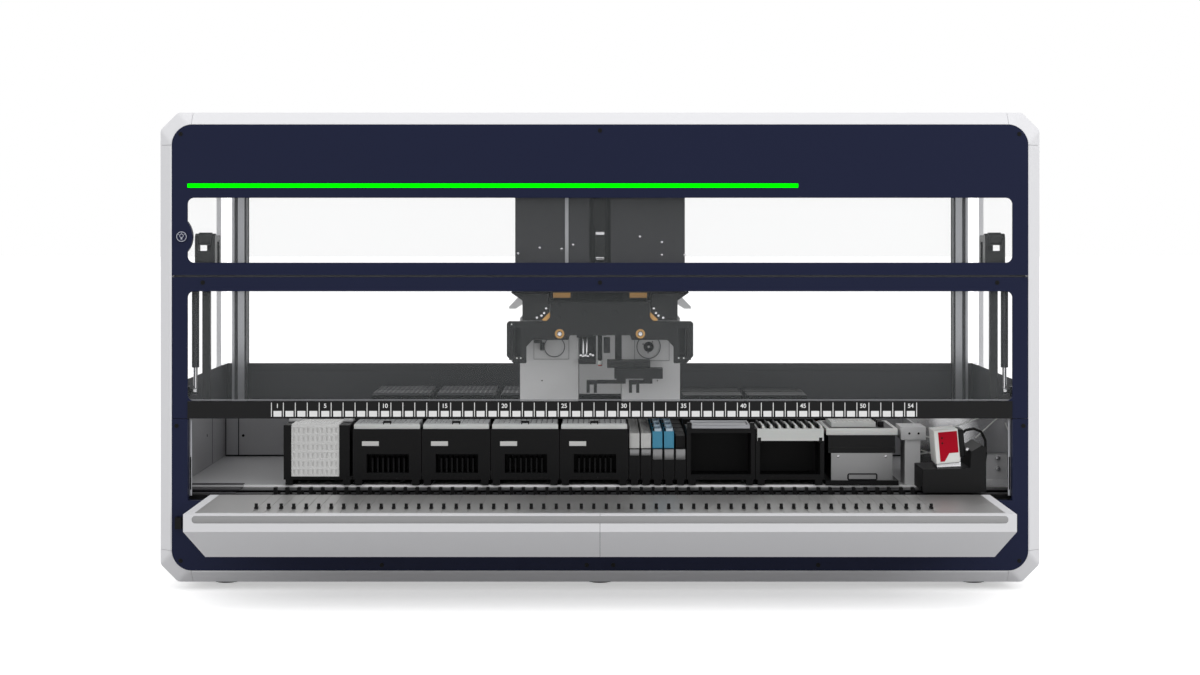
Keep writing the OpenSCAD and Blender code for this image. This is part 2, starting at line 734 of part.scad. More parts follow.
module gripper_mast() {
    x = gripper_axis[0];
    y = gripper_axis[1];
    wall_x = 43 - seat;
    z0 = gripper_z + 20 + seat;
    color(black) {
        box(wall_x - 13, wall_x, housing_y0 + 4, housing_y0 + 20, z0, z0 + 84);
        box(wall_x - 13, wall_x, y - 12, housing_y0 + 20, z0, z0 + 13);
        box(14, x + 16, y - 12, housing_y0 - 1, z0, z0 + 13);
        translate([x, y, gripper_z + 4]) cylinder(d = 12, h = 20);
    }
}
module gripper_head() {
    x = gripper_axis[0];
    y = gripper_axis[1];
    color(dark_grey) difference() {
        box(28, 122, y - 24, y + 12, gripper_z, gripper_z + 20);
        translate([x, y, gripper_z + 4 - seat]) cylinder(d = 12 + 2 * fit, h = 20);
        box(27, 123, y - 20, y - 8, gripper_z - 1, gripper_z + 8);
    }
}
module jaw(x0, reach, side) {
    y = gripper_axis[1];
    color(black) {
        box(x0, x0 + 18, y - 20 + seat, y - 8 - seat, gripper_z - 4, gripper_z + 8 - seat);
        box(x0 + (side < 0 ? -reach : 0), x0 + 18 + (side > 0 ? reach : 0), y - 19, y - 9,
            gripper_z - 10, gripper_z - 3);
    }
}
module fork(x, z) {
    y = gripper_axis[1];
    color(black) {
        box(x, x + 20, y - 40, y - 9, z + 10, z + 17);
        for (dx = [0, 14]) box(x + dx, x + dx + 6, y - 40, y - 30, z - 6, z + 11);
    }
}
module gripper_jaw_left() {
    jaw(32, 58, -1);
    fork(-26, gripper_z - 20);
}
module gripper_jaw_right() {
    jaw(84, 0, 1);
    color(black) box(60, 90, gripper_axis[1] - 19, gripper_axis[1] - 9,
        gripper_z - 10, gripper_z - 3);
    fork(56, gripper_z - 20);
}

// ---- Loading carriage with its code reader ----
carriage_x = inner_half - carriage_park;
module carriage_housing() {
    y0 = body_y + 4;
    y1 = deck_front_y - 14;
    z0 = deck_h + 1;
    slot_y0 = pin_row_deck - 9;
    slot_y1 = pin_row_deck + 9;
    rail0 = pin_row_deck + 35;
    color(black) difference() {
        union() {
            along_y(y0, y1 - y0) polygon(rounded([[carriage_x, z0], [carriage_x + 120, z0],
                [carriage_x + 120, z0 + 86], [carriage_x + 112, z0 + 90],
                [carriage_x + 92, z0 + 78], [carriage_x + 90, z0 + 46],
                [carriage_x, z0 + 44]], 1.6, 3));
            box(carriage_x + 20, carriage_x + 100, rail0 - 4, rail0 + 24,
                trough_floor + 10, z0 + 1);
        }
        box(carriage_x - 1, carriage_x + 121, slot_y0, slot_y1, z0 - 1, deck_h + pin_h + 2);
        box(carriage_x - 1, carriage_x + 121, rail0 - seat, rail0 + 20 + seat,
            trough_floor, trough_floor + 30 + seat);
    }
}
module scanner() {
    x = carriage_x + 22;
    z = deck_h + 45;
    color(white) translate([x, body_y + 14, z + 10]) rotate([0, 5, 0]) {
        cube([46, 60, 62]);
    }
    color(black) box(x + 4, x + 44, body_y + 20, body_y + 66, z + 1.5, z + 13);
}
cable_points = [[75.4, 105], [87, 116], [103, 119], [117, 113], [125, 97], [126, 71],
    [123.2, 45], [122.8, 25]];
module scanner_cable() {
    y = body_y + 40;
    d = 5;
    color(black) for (i = [0:len(cable_points) - 2]) hull()
        for (p = [cable_points[i], cable_points[i + 1]])
            translate([carriage_x + p.x, y, deck_h + p.y]) sphere(d = d, $fn = 12);
}

// ---- Carriers ----
module runner_feet(k, n) {
    w = track_pitch - pin_w - 2 * carrier_gap;
    for (t = n > 1 ? [k, k + n - 1] : [k])
        box(track_x(t) + (track_pitch - w) / 2, track_x(t) + (track_pitch + w) / 2,
            carrier_y0, carrier_y1, deck_h + seat, carrier_floor + 1);
}
module carrier_floor_plate(k, n, t = 6) {
    box(track_x(k) + carrier_gap / 2, track_x(k + n) - carrier_gap / 2, carrier_y0,
        carrier_y1, carrier_floor, carrier_floor + t);
    runner_feet(k, n);
}
rack_pitch = (carrier_len - 12) / 5;
rack_depth = rack_pitch - 12;
rack_wall = 4;
low_rack = deck_h + 124;
high_rack = deck_h + 150;
function rack_y(i) = carrier_y0 + 8 + i * rack_pitch;
module racks(k, n, from) {
    for (i = [from:4]) box(track_x(k) + 5, track_x(k + n) - 5, rack_y(i),
        rack_y(i) + rack_depth, carrier_floor, i < 3 ? low_rack : high_rack);
}
module rack_hollows(k, n, from) {
    inset = 5 + rack_wall;
    for (i = [from:4]) box(track_x(k) + inset + 16, track_x(k + n) - inset - 16,
        rack_y(i) + rack_wall, rack_y(i) + rack_depth - rack_wall, deck_h,
        (i < 3 ? low_rack : high_rack) - rack_wall);
}
module plate_carrier(k) {
    x0 = track_x(k) + carrier_gap / 2;
    x1 = track_x(k + 6) - carrier_gap / 2;
    top = deck_h + carrier_h;
    slot0 = x0 + 27;
    slot1 = x1 - 24;
    slot_z0 = carrier_floor + 13;
    slot_z1 = slot_z0 + 37;
    fin_pitch = (slot1 - slot0) / 8;
    color(black) {
        difference() {
            union() {
                carrier_floor_plate(k, 6);
                along_y(carrier_y0, 4) round_rect(x0, x1, carrier_floor, top, 2);
                box(x0 + 6, x1 - 6, carrier_y0, carrier_y0 + 86, carrier_floor, top - 3);
                racks(k, 6, 1);
            }
            rack_hollows(k, 6, 1);
            box(slot0, slot1, carrier_y0 - 1, carrier_y0 + 50, slot_z0, slot_z1);
            box(slot0, slot1, carrier_y0 + 54, carrier_y0 + 82, deck_h, top - 7);
        }
        for (i = [1:7]) box(slot0 + i * fin_pitch - 1.5, slot0 + i * fin_pitch + 1.5,
            carrier_y0 + 12, carrier_y0 + 51, slot_z0 - 1, slot_z0 + 28);
    }
}
module narrow_carrier(k, top, shade) {
    x0 = track_x(k) + carrier_gap / 2;
    x1 = track_x(k + 1) - carrier_gap / 2;
    tube_pitch = (carrier_len - 17) / 6;
    tube_len = tube_pitch - 8;
    shelf = carrier_floor + 50;
    color(black) {
        carrier_floor_plate(k, 1, 4);
        box(x0, x1, carrier_y0, carrier_y0 + 4, carrier_floor, deck_h + 72);
        difference() {
            box(x0 + 1, x1 - 1, carrier_y0 + 3, carrier_y1, carrier_floor, shelf);
            for (i = [0:5]) box(x0, x1, carrier_y0 + 16 + i * tube_pitch,
                carrier_y0 + tube_len + i * tube_pitch, carrier_floor + 8, shelf - 8);
        }
    }
    color(shade) for (i = [0:5]) box(x0 + 1.5, x1 - 1.5, carrier_y0 + 8 + i * tube_pitch,
        carrier_y0 + 8 + tube_len + i * tube_pitch, shelf, top);
}
module open_frame(k, rail) {
    x0 = track_x(k) + carrier_gap / 2;
    x1 = track_x(k + 6) - carrier_gap / 2;
    top = deck_h + carrier_h;
    color(black) {
        carrier_floor_plate(k, 6);
        for (x = [x0, x1 - 8]) box(x, x + 8, carrier_y0, carrier_y0 + 96, carrier_floor, top);
        for (x = [x0, x1 - 8]) box(x, x + 8, carrier_y0 + 200, carrier_y1, carrier_floor, top);
        box(x0, x1, carrier_y0, carrier_y0 + 96, top - rail, top);
        box(x0, x1, carrier_y0 + 90, carrier_y0 + 96, carrier_floor, top);
        box(x0, x1, carrier_y0, carrier_y0 + 6, carrier_floor, carrier_floor + 10);
        box(x0, x1, carrier_y0 + 200, carrier_y1, top - rail, top);
    }
}
module open_carrier() {
    color(black) difference() {
        union() {
            open_frame(35, 8);
            racks(35, 6, 3);
        }
        rack_hollows(35, 6, 3);
    }
}
module reservoir_carrier() {
    color(black) difference() {
        union() {
            open_frame(41, 6);
            racks(41, 6, 3);
        }
        rack_hollows(41, 6, 3);
    }
}
tip_levels = 6;
tip_level_h = 16.4;
tip_wall = 14.5;
tip_rack_x = [track_x(0) + carrier_gap / 2 + tip_wall + seat, track_x(6) - 26];
module tip_carrier() {
    x0 = track_x(0) + carrier_gap / 2;
    x1 = track_x(6) - carrier_gap / 2;
    top = carrier_floor + 6 + tip_levels * tip_level_h + 2;
    color(black) {
        carrier_floor_plate(0, 6);
        box(x0, x0 + tip_wall, carrier_y0, carrier_y0 + 108, carrier_floor, top);
        box(tip_rack_x[1] + seat, x1 - 5, carrier_y0, carrier_y0 + 108, carrier_floor, top);
        for (x = [x0 + 12, x1]) box(x - 12, x, carrier_y0 + 120, carrier_y1 - 40,
            carrier_floor, carrier_floor + 60);
    }
}
module tip_racks() {
    x0 = tip_rack_x[0];
    x1 = tip_rack_x[1];
    y0 = carrier_y0 + 2;
    slot_pitch = (x1 - x0 - 2) / 10;
    color(white) for (i = [0:tip_levels - 1]) {
        z = carrier_floor + 6 + seat / 2 + i * tip_level_h;
        difference() {
            box(x0, x1, y0, y0 + 104, z, z + tip_level_h - seat);
            for (j = [0:9]) box(x0 + 3.4 + j * slot_pitch, x0 + 7.4 + j * slot_pitch,
                y0 - 1, y0 + 6, z + 3, z + tip_level_h - 4);
        }
    }
}

// ---- Fixed stations ----
module heater_module() {
    x0 = track_x(47) + 2;
    x1 = track_x(53) + 10;
    z = deck_h;
    block_y = carrier_y0 + 164;
    lid_z = z + 98;
    color(black) box(x0, x1, carrier_y0, carrier_y1, z, z + 9);
    color(steel) difference() {
        box(x0 + 12, x1 - 12, carrier_y0 + 6, carrier_y0 + 150, z + 9, z + 62);
        box(x0 + 44, x1 - 52, carrier_y0 + 5, carrier_y0 + 60, z + 12, z + 24);
    }
    color(dark_grey) {
        box(x0 + 6, x1 - 6, carrier_y0 + 8, block_y - 4, z + 62, lid_z);
        difference() {
            box(x0 + 12, x1 - 12, carrier_y0 + 200, carrier_y1 - 10, z + 9, z + 120);
            box(x0 + 16, x1 - 16, carrier_y0 + 204, carrier_y1 - 14, z + 8, z + 116);
        }
    }
    color(white) box(x0 + 2, x1 - 2, carrier_y0 + 4, block_y, lid_z, lid_z + 12);
}
module waste_station() {
    x = track_x(54) + 2;
    hopper_x1 = inner_half - 8;
    hopper_y0 = deck_front_y + 90;
    hopper_y1 = hopper_y0 + 170;
    hopper_top = deck_h + 109;
    color(mid_grey) {
        box(x, x + 30, deck_front_y + 10, deck_front_y + 70, deck_h, deck_h + 88);
        box(x - 8, x + 40, deck_front_y + 6, deck_front_y + 80, deck_h + 88, deck_h + 112);
        difference() {
            box(x + 32, hopper_x1, hopper_y0, hopper_y1, deck_h, hopper_top);
            box(x + 32 + sheet_t, hopper_x1 - sheet_t, hopper_y0 + sheet_t,
                hopper_y1 - sheet_t, deck_h + sheet_t, hopper_top + 1);
        }
    }
    color(dark_grey) box(hopper_x1 - 48, hopper_x1, hopper_y0 - 4, hopper_y0 + 1, deck_h,
        deck_h + 49);
    color(steel) for (z = [deck_h + 22, deck_h + 43])
        rod_y(hopper_x1 - 20, hopper_y0 - 10, z, 10, 7);
}

base_frame();
feet();
side_panels();
top_cover();
bezel();
upper_front_panel();
upper_window();
side_windows();
rear_window();
led_strip();
lower_front_frame();
front_screws();
rear_panel();
rear_frame();
deck_plate();
loading_trough();
guide_pins();
tray_shell();
tray_top();
tray_latch();
hinge_brackets();
waste_station();
heater_module();
cover_frame();
cover_window();
label_bar();
hinge_arms();
strut_cylinders();
strut_rods();
light_button();
arm_frame();
arm_tower();
arm_housings();
arm_guide_rods();
arm_brass();
channel(0);  // channel_1
channel(1);  // channel_2
probe(0);  // probe_1
probe(1);  // probe_2
gripper_mast();
gripper_head();
gripper_jaw_left();
gripper_jaw_right();
carriage_housing();
scanner();
scanner_cable();
tip_carrier();
tip_racks();
plate_carrier(6);  // plate_carrier_1
plate_carrier(12);  // plate_carrier_2
plate_carrier(18);  // plate_carrier_3
plate_carrier(24);  // plate_carrier_4
narrow_carrier(30, deck_h + 100, white);  // tube_carrier_1
narrow_carrier(31, deck_h + 100, white);  // tube_carrier_2
narrow_carrier(32, deck_h + 104, [0.24, 0.6, 0.72]);  // trough_carrier_1
narrow_carrier(33, deck_h + 104, [0.24, 0.6, 0.72]);  // trough_carrier_2
narrow_carrier(34, deck_h + 96, black);  // strip_carrier
open_carrier();
reservoir_carrier();
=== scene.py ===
import math

import bmesh
import bpy
from bpy.props import FloatProperty, FloatVectorProperty, IntProperty, PointerProperty
from mathutils import Matrix, Vector


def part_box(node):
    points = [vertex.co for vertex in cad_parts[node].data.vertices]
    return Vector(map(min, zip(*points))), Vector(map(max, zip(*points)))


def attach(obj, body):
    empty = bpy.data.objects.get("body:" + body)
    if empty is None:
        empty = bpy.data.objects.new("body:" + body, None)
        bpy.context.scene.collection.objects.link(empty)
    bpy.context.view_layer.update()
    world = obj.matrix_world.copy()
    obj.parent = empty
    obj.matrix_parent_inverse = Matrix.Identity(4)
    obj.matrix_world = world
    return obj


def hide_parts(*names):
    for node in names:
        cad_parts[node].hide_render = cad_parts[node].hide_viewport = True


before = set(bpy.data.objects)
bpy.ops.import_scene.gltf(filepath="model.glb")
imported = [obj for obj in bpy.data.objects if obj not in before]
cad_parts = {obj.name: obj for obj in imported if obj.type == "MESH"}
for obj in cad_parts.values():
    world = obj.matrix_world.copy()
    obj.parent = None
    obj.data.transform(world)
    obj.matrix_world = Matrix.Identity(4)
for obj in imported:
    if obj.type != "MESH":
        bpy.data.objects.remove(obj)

bl_info = {
    "name": "Liquid handling robot dressing",
    "version": (1, 0, 0),
    "blender": (4, 5, 0),
    "location": "3D View > Sidebar > Robot",
    "description": "Finishes and trim for a liquid handling robot",
    "category": "Object",
}


# ---- Colours and shader nodes ----


def linear(code):
    """The linear colour that shaders use for an sRGB hex code."""
    parts = [int(code[i : i + 2], 16) / 255 for i in (1, 3, 5)]
    return [c / 12.92 if c <= 0.04045 else ((c + 0.055) / 1.055) ** 2.4 for c in parts]


def add_node(tree, kind, inputs=(), **settings):
    """Adds a shader node, sets it up, and sets or links its inputs."""
    node = tree.nodes.new("ShaderNode" + kind)
    for key, value in settings.items():
        setattr(node, key, value)
    for key, value in dict(inputs).items():
        if isinstance(value, bpy.types.NodeSocket):
            tree.links.new(value, node.inputs[key])
        else:
            node.inputs[key].default_value = value
    return node


CLOUD_SIZE = 250  # width of the slow drift in a finish's tone and gloss, in millimetres
RELIEF_HEIGHT = 0.0002  # full height of a finish's grain, in metres


def surface(name, colour, gloss, grain=2.5, vary=0.05, relief=0.1, **fixed):
    """A finish whose colour, roughness and relief vary with its grain.

    The grain is one width in millimetres, or one length each along X, Y and Z.
    """
    label = f"{name}_finish"
    if label in bpy.data.materials:
        return bpy.data.materials[label]
    material = bpy.data.materials.new(label)
    material.use_nodes = True
    tree = material.node_tree
    shader = tree.nodes["Principled BSDF"]
    place = add_node(tree, "TexCoord").outputs["Object"]
    lengths = grain if isinstance(grain, tuple) else (grain, grain, grain)
    per_metre = {"Vector": place, "Scale": [1000 / length for length in lengths]}
    grid = add_node(tree, "Mapping", per_metre).outputs[0]
    speckle = add_node(tree, "TexNoise", {"Vector": grid, "Scale": 1.0, "Detail": 3.0})
    drift = {"Vector": place, "Scale": 1000 / CLOUD_SIZE, "Detail": 2.0}
    cloud = add_node(tree, "TexNoise", drift)
    both = {0: speckle.outputs[0], 1: cloud.outputs[0]}
    blend = add_node(tree, "Math", both, operation="MULTIPLY")
    shades = {6: shade(colour, 1 - vary), 7: shade(colour, 1 + vary)}
    tone = add_node(tree, "Mix", {0: blend.outputs[0], **shades}, data_type="RGBA")
    polish = {"Value": cloud.outputs[0], "To Min": gloss[0], "To Max": gloss[1]}
    tree.links.new(tone.outputs[2], shader.inputs["Base Color"])
    tree.links.new(add_node(tree, "MapRange", polish).outputs[0], shader.inputs["Roughness"])
    bump = {"Height": speckle.outputs[0], "Strength": relief, "Distance": RELIEF_HEIGHT}
    tree.links.new(add_node(tree, "Bump", bump).outputs[0], shader.inputs["Normal"])
    for key, value in fixed.items():
        shader.inputs[key.replace("_", " ").title().replace("Ior", "IOR")].default_value = value
    return material


def glow(material, strength, colour=(1, 1, 1, 1)):
    """Gives a finish light of its own."""
    shader = material.node_tree.nodes["Principled BSDF"]
    shader.inputs["Emission Color"].default_value = colour
    shader.inputs["Emission Strength"].default_value = strength
    return material


def shade(colour, factor):
    """A lighter or darker version of a linear colour, with full alpha."""
    return [min(1.0, c * factor) for c in colour[:3]] + [1.0]


# ---- Sizes and colours a user would change ----


def colour_setting(label, text, code):
    """One colour property with its default."""
    return FloatVectorProperty(
        name=label, description=text, subtype="COLOR", size=3, min=0, max=1, default=linear(code)
    )


class RobotColours(bpy.types.PropertyGroup):
    case: colour_setting("Case", "Powder coat of the case and tray", "#E4E4E7")
    panel: colour_setting("Front panel", "Paint of the front panels", "#1C213A")
    sheet: colour_setting("Dark sheet", "Paint of the inner sheet metal", "#333236")
    cover: colour_setting("Arm cover", "Paint of the arm's lower covers", "#CFCFD0")
    plastic: colour_setting("Black plastic", "Moulded carriers and bars", "#131314")
    metal: colour_setting("Black metal", "Anodised arm and hinge parts", "#1C1C1D")
    trough: colour_setting("Trough", "Tinted reagent troughs", "#3C96B9")
    light: colour_setting("Light", "Status light", "#01FF00")


class RobotSizes(bpy.types.PropertyGroup):
    edge: FloatProperty(
        name="Edge", description="Bevel on moulded edges", default=0.0006, min=0.0002, max=0.002,
        subtype="DISTANCE", unit="LENGTH",
    )
    tick: FloatProperty(
        name="Tick", description="Width of a tick on the scale", default=0.0014, min=0.0005,
        max=0.003, subtype="DISTANCE", unit="LENGTH",
    )
    digit: FloatProperty(
        name="Digit", description="Height of the track numbers", default=0.0112, min=0.006,
        max=0.018, subtype="DISTANCE", unit="LENGTH",
    )
    tracks: IntProperty(name="Tracks", description="Tracks on the deck", default=54, min=10)
    pitch: FloatProperty(
        name="Track pitch", description="Distance between tracks", default=0.0225, min=0.02,
        max=0.03, subtype="DISTANCE", unit="LENGTH",
    )


class StageSettings(bpy.types.PropertyGroup):
    sky: FloatProperty(name="Sky", description="Level of the even light", default=0.74, min=0)
    key: FloatProperty(
        name="Key", description="Power of the large overhead lamp", default=25, min=0, unit="POWER"
    )
    fill: FloatProperty(
        name="Fill", description="Power of each side lamp", default=20, min=0, unit="POWER"
    )
    lens: FloatProperty(name="Lens", description="Focal length", default=63.0, subtype="DISTANCE_CAMERA")


def colours():
    """The colours that the panel shows."""
    return bpy.context.scene.robot_colours


def sizes():
    """The sizes that the panel shows."""
    return bpy.context.scene.robot_sizes


# ---- Finishes, named for the real materials ----


def white_paint():
    # satin powder coat: a fine orange peel that softens the highlights
    return surface("white_paint", colours().case, (0.38, 0.5), 1.11, vary=0.02, relief=0.08)


def navy_paint():
    # smooth satin paint, nearly black in the shade, with a faint cloud in its gloss
    return surface(
        "navy_paint", colours().panel, (0.34, 0.46), 1.43, vary=0.06, relief=0.05,
        specular_ior_level=0.1,
    )


def clear_pane():
    # clear sheet that only shows by its reflections and edges
    pane = surface("clear_pane", linear("#EEF5F7"), (0.02, 0.06), 16.7, vary=0.02, relief=0.0)
    pane.node_tree.nodes["Principled BSDF"].inputs["Alpha"].default_value = 0.025
    return pane


def black_plastic():
    # moulded plastic with a spark-eroded grain that breaks up the sheen
    return surface(
        "black_plastic", colours().plastic, (0.42, 0.58), 0.667, vary=0.12, relief=0.25,
        specular_ior_level=0.16,
    )


def black_metal():
    # anodised plate: darker and tighter than plastic, with a metallic edge
    return surface(
        "black_metal", colours().metal, (0.3, 0.42), 0.833, vary=0.1, relief=0.1,
        metallic=0.1, specular_ior_level=0.15,
    )


def dark_sheet():
    # textured dark paint on bent sheet
    return surface(
        "dark_sheet", colours().sheet, (0.3, 0.45), 0.909, vary=0.08, relief=0.15,
        specular_ior_level=0.25,
    )


def grey_cover():
    # light grey satin cover paint
    return surface("grey_cover", colours().cover, (0.35, 0.5), 1.11, vary=0.03, relief=0.08)


def profile_aluminium():
    # extruded and anodised: fine die lines run up the profile
    return surface(
        "profile_aluminium", linear("#A8A9AD"), (0.3, 0.42), (0.556, 0.556, 41.7), 0.08, 0.1,
        metallic=0.75,
    )


def brushed_plate():
    # brushed stainless: long scratches across the width of the tray
    return surface(
        "brushed_plate", linear("#CFCECD"), (0.3, 0.4), (33.3, 0.417, 0.417), 0.1, 0.12,
        metallic=0.85,
    )


def ground_steel():
    # ground and plated rod with bright, narrow highlights
    return surface(
        "ground_steel", linear("#C4C4C6"), (0.12, 0.22), (3.33, 3.33, 0.278), 0.05, 0.05, metallic=1.0
    )


def machined_brass():
    # turned brass with warm tool marks
    return surface(
        "machined_brass", linear("#A8824F"), (0.24, 0.36), (0.5, 2, 0.5), 0.12, 0.12,
        metallic=1.0,
    )


def foot_rubber():
    # matte black rubber with a dusty bloom
    return surface("foot_rubber", linear("#161616"), (0.75, 0.9), 1.25, vary=0.25, relief=0.3)


def light_bar():
    # lit diffuser with an even glow
    bar = surface(
        "light_bar", colours().light, (0.4, 0.5), 3.33, vary=0.02, relief=0.02,
        specular_ior_level=0.0,
    )
    return glow(bar, 1.0, shade(colours().light, 1))


def black_oxide():
    # blackened steel: deep and even, with hardly any sheen
    return surface(
        "black_oxide", linear("#0C0C0D"), (0.5, 0.65), 0.833, vary=0.2, relief=0.1,
        specular_ior_level=0.15,
    )


def deck_sheet():
    # satin steel deck: fine rolling lines run from the front to the back
    return surface("deck_sheet", linear("#D2D2D3"), (0.28, 0.4), (0.417, 33.3, 0.417), 0.06, 0.08)


def white_plastic():
    # moulded polypropylene: slightly waxy, with soft light inside
    return surface(
        "white_plastic", linear("#E6E6E3"), (0.3, 0.42), 1.43, vary=0.03, relief=0.06,
        subsurface_weight=0.05,
    )


def lit_sheet():
    # white painted sheet deep in the arm; its glow is painted light that brightens it in the arm's deep
    # shade
    sheet = surface("lit_sheet", linear("#E4E4E6"), (0.4, 0.5), 3.33, vary=0.02, relief=0.04)
    return glow(sheet, 0.12)


def rack_plastic():
    # moulded tip racks: duller and greyer than the carriers, so their hole grid reads
    return surface("rack_plastic", linear("#4B4B4E"), (0.45, 0.6), 1.11, vary=0.08, relief=0.15)


def tip_plastic():
    # natural polypropylene; its glow is painted light that brightens the racks in the shade under the
    # cover bar
    racks = surface("tip_plastic", linear("#E0E0DF"), (0.35, 0.5), 2, vary=0.04, relief=0.08)
    return glow(racks, 0.08)


def blue_plastic():
    # tinted trough wall
    return surface("blue_plastic", colours().trough, (0.25, 0.35), 2, vary=0.06, relief=0.05)


FINISHES = {
    white_paint: ["base_frame", "side_panels", "top_cover", "bezel", "tray_shell"],
    navy_paint: ["upper_front_panel", "lower_front_frame", "cover_frame", "light_button"],
    clear_pane: ["upper_window", "side_windows", "rear_window", "cover_window"],
    black_plastic: [
        "loading_trough", "label_bar", "channel_1", "channel_2", "probe_1", "probe_2",
        "carriage_housing", "scanner_cable", "tip_carrier",
        "plate_carrier_1", "plate_carrier_2", "plate_carrier_3", "plate_carrier_4",
        "tube_carrier_1", "tube_carrier_2", "trough_carrier_1", "trough_carrier_2",
        "strip_carrier", "open_carrier", "reservoir_carrier",
    ],
    black_metal: [
        "hinge_brackets", "hinge_arms", "arm_frame", "gripper_mast", "gripper_head",
        "gripper_jaw_left", "gripper_jaw_right", "heater_module",
    ],
    dark_sheet: ["rear_panel", "arm_tower", "strut_cylinders"],
    deck_sheet: ["deck_plate"],
    black_oxide: ["front_screws", "tray_latch", "guide_pins"],
    grey_cover: ["arm_housings", "waste_station"],
    profile_aluminium: ["rear_frame"],
    brushed_plate: ["tray_top"],
    ground_steel: ["strut_rods", "arm_guide_rods"],
    machined_brass: ["arm_brass"],
    foot_rubber: ["feet"],
    light_bar: ["led_strip"],
    white_plastic: ["scanner"],
    tip_plastic: ["tip_racks"],
}


# ---- Modelling helpers; places are given in millimetres and made metres here ----


SMOOTH_BELOW = math.radians(35)
FACING_FRONT = (math.pi / 2, 0, 0)  # turns what is made lying flat to look to the front


def corners(node):
    """The two corners of a CAD node's box, in millimetres."""
    return [corner * 1000 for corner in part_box(node)]


def clear_selection():
    """Back to object mode with nothing selected."""
    if bpy.context.mode != "OBJECT":
        bpy.ops.object.mode_set(mode="OBJECT")
    bpy.ops.object.select_all(action="DESELECT")


def take(piece):
    """Makes a piece the only selected and the active object."""
    clear_selection()
    piece.select_set(True)
    bpy.context.view_layer.objects.active = piece


def settle(name):
    """Names a fresh primitive and moves its place into its mesh."""
    piece = bpy.context.object
    piece.name = piece.data.name = name
    bpy.ops.object.transform_apply(location=True, rotation=True, scale=True)
    return piece


def choose(piece, test):
    """Enters edit mode with the faces selected whose centre (mm) and normal pass the test."""
    take(piece)
    bpy.ops.object.mode_set(mode="EDIT")
    bpy.ops.mesh.select_mode(type="FACE")
    bpy.ops.mesh.select_all(action="DESELECT")
    mesh = bmesh.from_edit_mesh(piece.data)
    for face in mesh.faces:
        if test(face.calc_center_median() * 1000, face.normal):
            face.select_set(True)
    bmesh.update_edit_mesh(piece.data)


def all_faces(spot, normal):
    """A test for choose that every face passes."""
    return True


def front_faces(spot, normal):
    """Faces that look to the front."""
    return normal.y < -0.9


def top_faces(spot, normal):
    """Faces that look up."""
    return normal.z > 0.9


def soften(piece, edge, steps=2):
    """Bevels every edge of a piece."""
    choose(piece, all_faces)
    bpy.ops.mesh.bevel(offset=edge / 1000, segments=steps, affect="EDGES")
    bpy.ops.object.mode_set(mode="OBJECT")


def block(name, lo, hi, edge=None, steps=2):
    """A box between two corners, with softened edges; an edge of 0 leaves it sharp."""
    clear_selection()
    edge = sizes().edge * 1000 if edge is None else edge
    lo, hi = Vector(lo) / 1000, Vector(hi) / 1000
    bpy.ops.mesh.primitive_cube_add(size=1, location=(lo + hi) / 2, scale=hi - lo)
    piece = settle(name)
    if edge:
        soften(piece, edge, steps)
    return piece


def turned(name, centre, radius, depth, axis="Y", sides=32, edge=0.3):
    """A round boss centred on a point, with softened rims."""
    clear_selection()
    turn = {"X": (0, math.pi / 2, 0), "Y": FACING_FRONT, "Z": (0, 0, 0)}[axis]
    bpy.ops.mesh.primitive_cylinder_add(
        vertices=sides, radius=radius / 1000, depth=depth / 1000,
        location=Vector(centre) / 1000, rotation=turn,
    )
    piece = settle(name)
    line = "XYZ".index(axis)
    choose(piece, lambda spot, normal: abs(normal[line]) > 0.9)
    bpy.ops.mesh.bevel(offset=edge / 1000, segments=2, affect="EDGES")
    bpy.ops.object.mode_set(mode="OBJECT")
    return piece


def sink(piece, test, rim, depth):
    """Insets the chosen faces one by one and pushes the inner faces in."""
    choose(piece, test)
    bpy.ops.mesh.inset(thickness=rim / 1000, depth=0, use_individual=True)
    bpy.ops.mesh.inset(thickness=0.00002, depth=-depth / 1000, use_individual=True)
    bpy.ops.object.mode_set(mode="OBJECT")


def rim_front(piece, rim, raised):
    """Insets the front face and raises the part inside the rim."""
    choose(piece, front_faces)
    bpy.ops.mesh.inset(thickness=rim / 1000, depth=raised / 1000)
    bpy.ops.object.mode_set(mode="OBJECT")


def cut(piece, point, way):
    """Cuts off what lies beyond a plane through a point, and closes the cut."""
    choose(piece, all_faces)
    point = Vector(point) / 1000
    bpy.ops.mesh.bisect(plane_co=point, plane_no=way, clear_outer=True, use_fill=True)
    bpy.ops.object.mode_set(mode="OBJECT")


def ring(name, centre, radius, width, segments, sides):
    """A ring of round wire that looks to the front."""
    clear_selection()
    bpy.ops.mesh.primitive_torus_add(
        major_radius=radius / 1000, minor_radius=width / 1000, major_segments=segments,
        minor_segments=sides, location=Vector(centre) / 1000, rotation=FACING_FRONT,
    )
    return settle(name)


def twin(piece, name, place):
    """A copy of a piece with its own mesh, moved by an offset (mm)."""
    copy = piece.copy()
    copy.data = piece.data.copy()
    copy.name = copy.data.name = name
    copy.data.transform(Matrix.Translation(Vector(place) / 1000))
    bpy.context.collection.objects.link(copy)
    return copy


def spread(piece, places):
    """Repeats a piece at the given offsets (mm) and joins the copies."""
    copies = [twin(piece, piece.name, place) for place in places[1:]]
    piece.data.transform(Matrix.Translation(Vector(places[0]) / 1000))
    return join([piece] + copies)


def join(parts):
    """Joins parts into the first one."""
    take(parts[0])
    for part in parts:
        part.select_set(True)
    bpy.ops.object.join()
    return bpy.context.object


def finish(piece, body, material, slot=None, *nodes):
    """Gives a piece its finish and its body, and hides the CAD nodes that it stands for.

    The slot is not used.
    """
    take(piece)
    piece.data.materials.clear()
    piece.data.materials.append(material)
    bpy.ops.object.shade_smooth_by_angle(angle=SMOOTH_BELOW)
    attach(piece, body)
    if nodes:
        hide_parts(*nodes)
    return piece


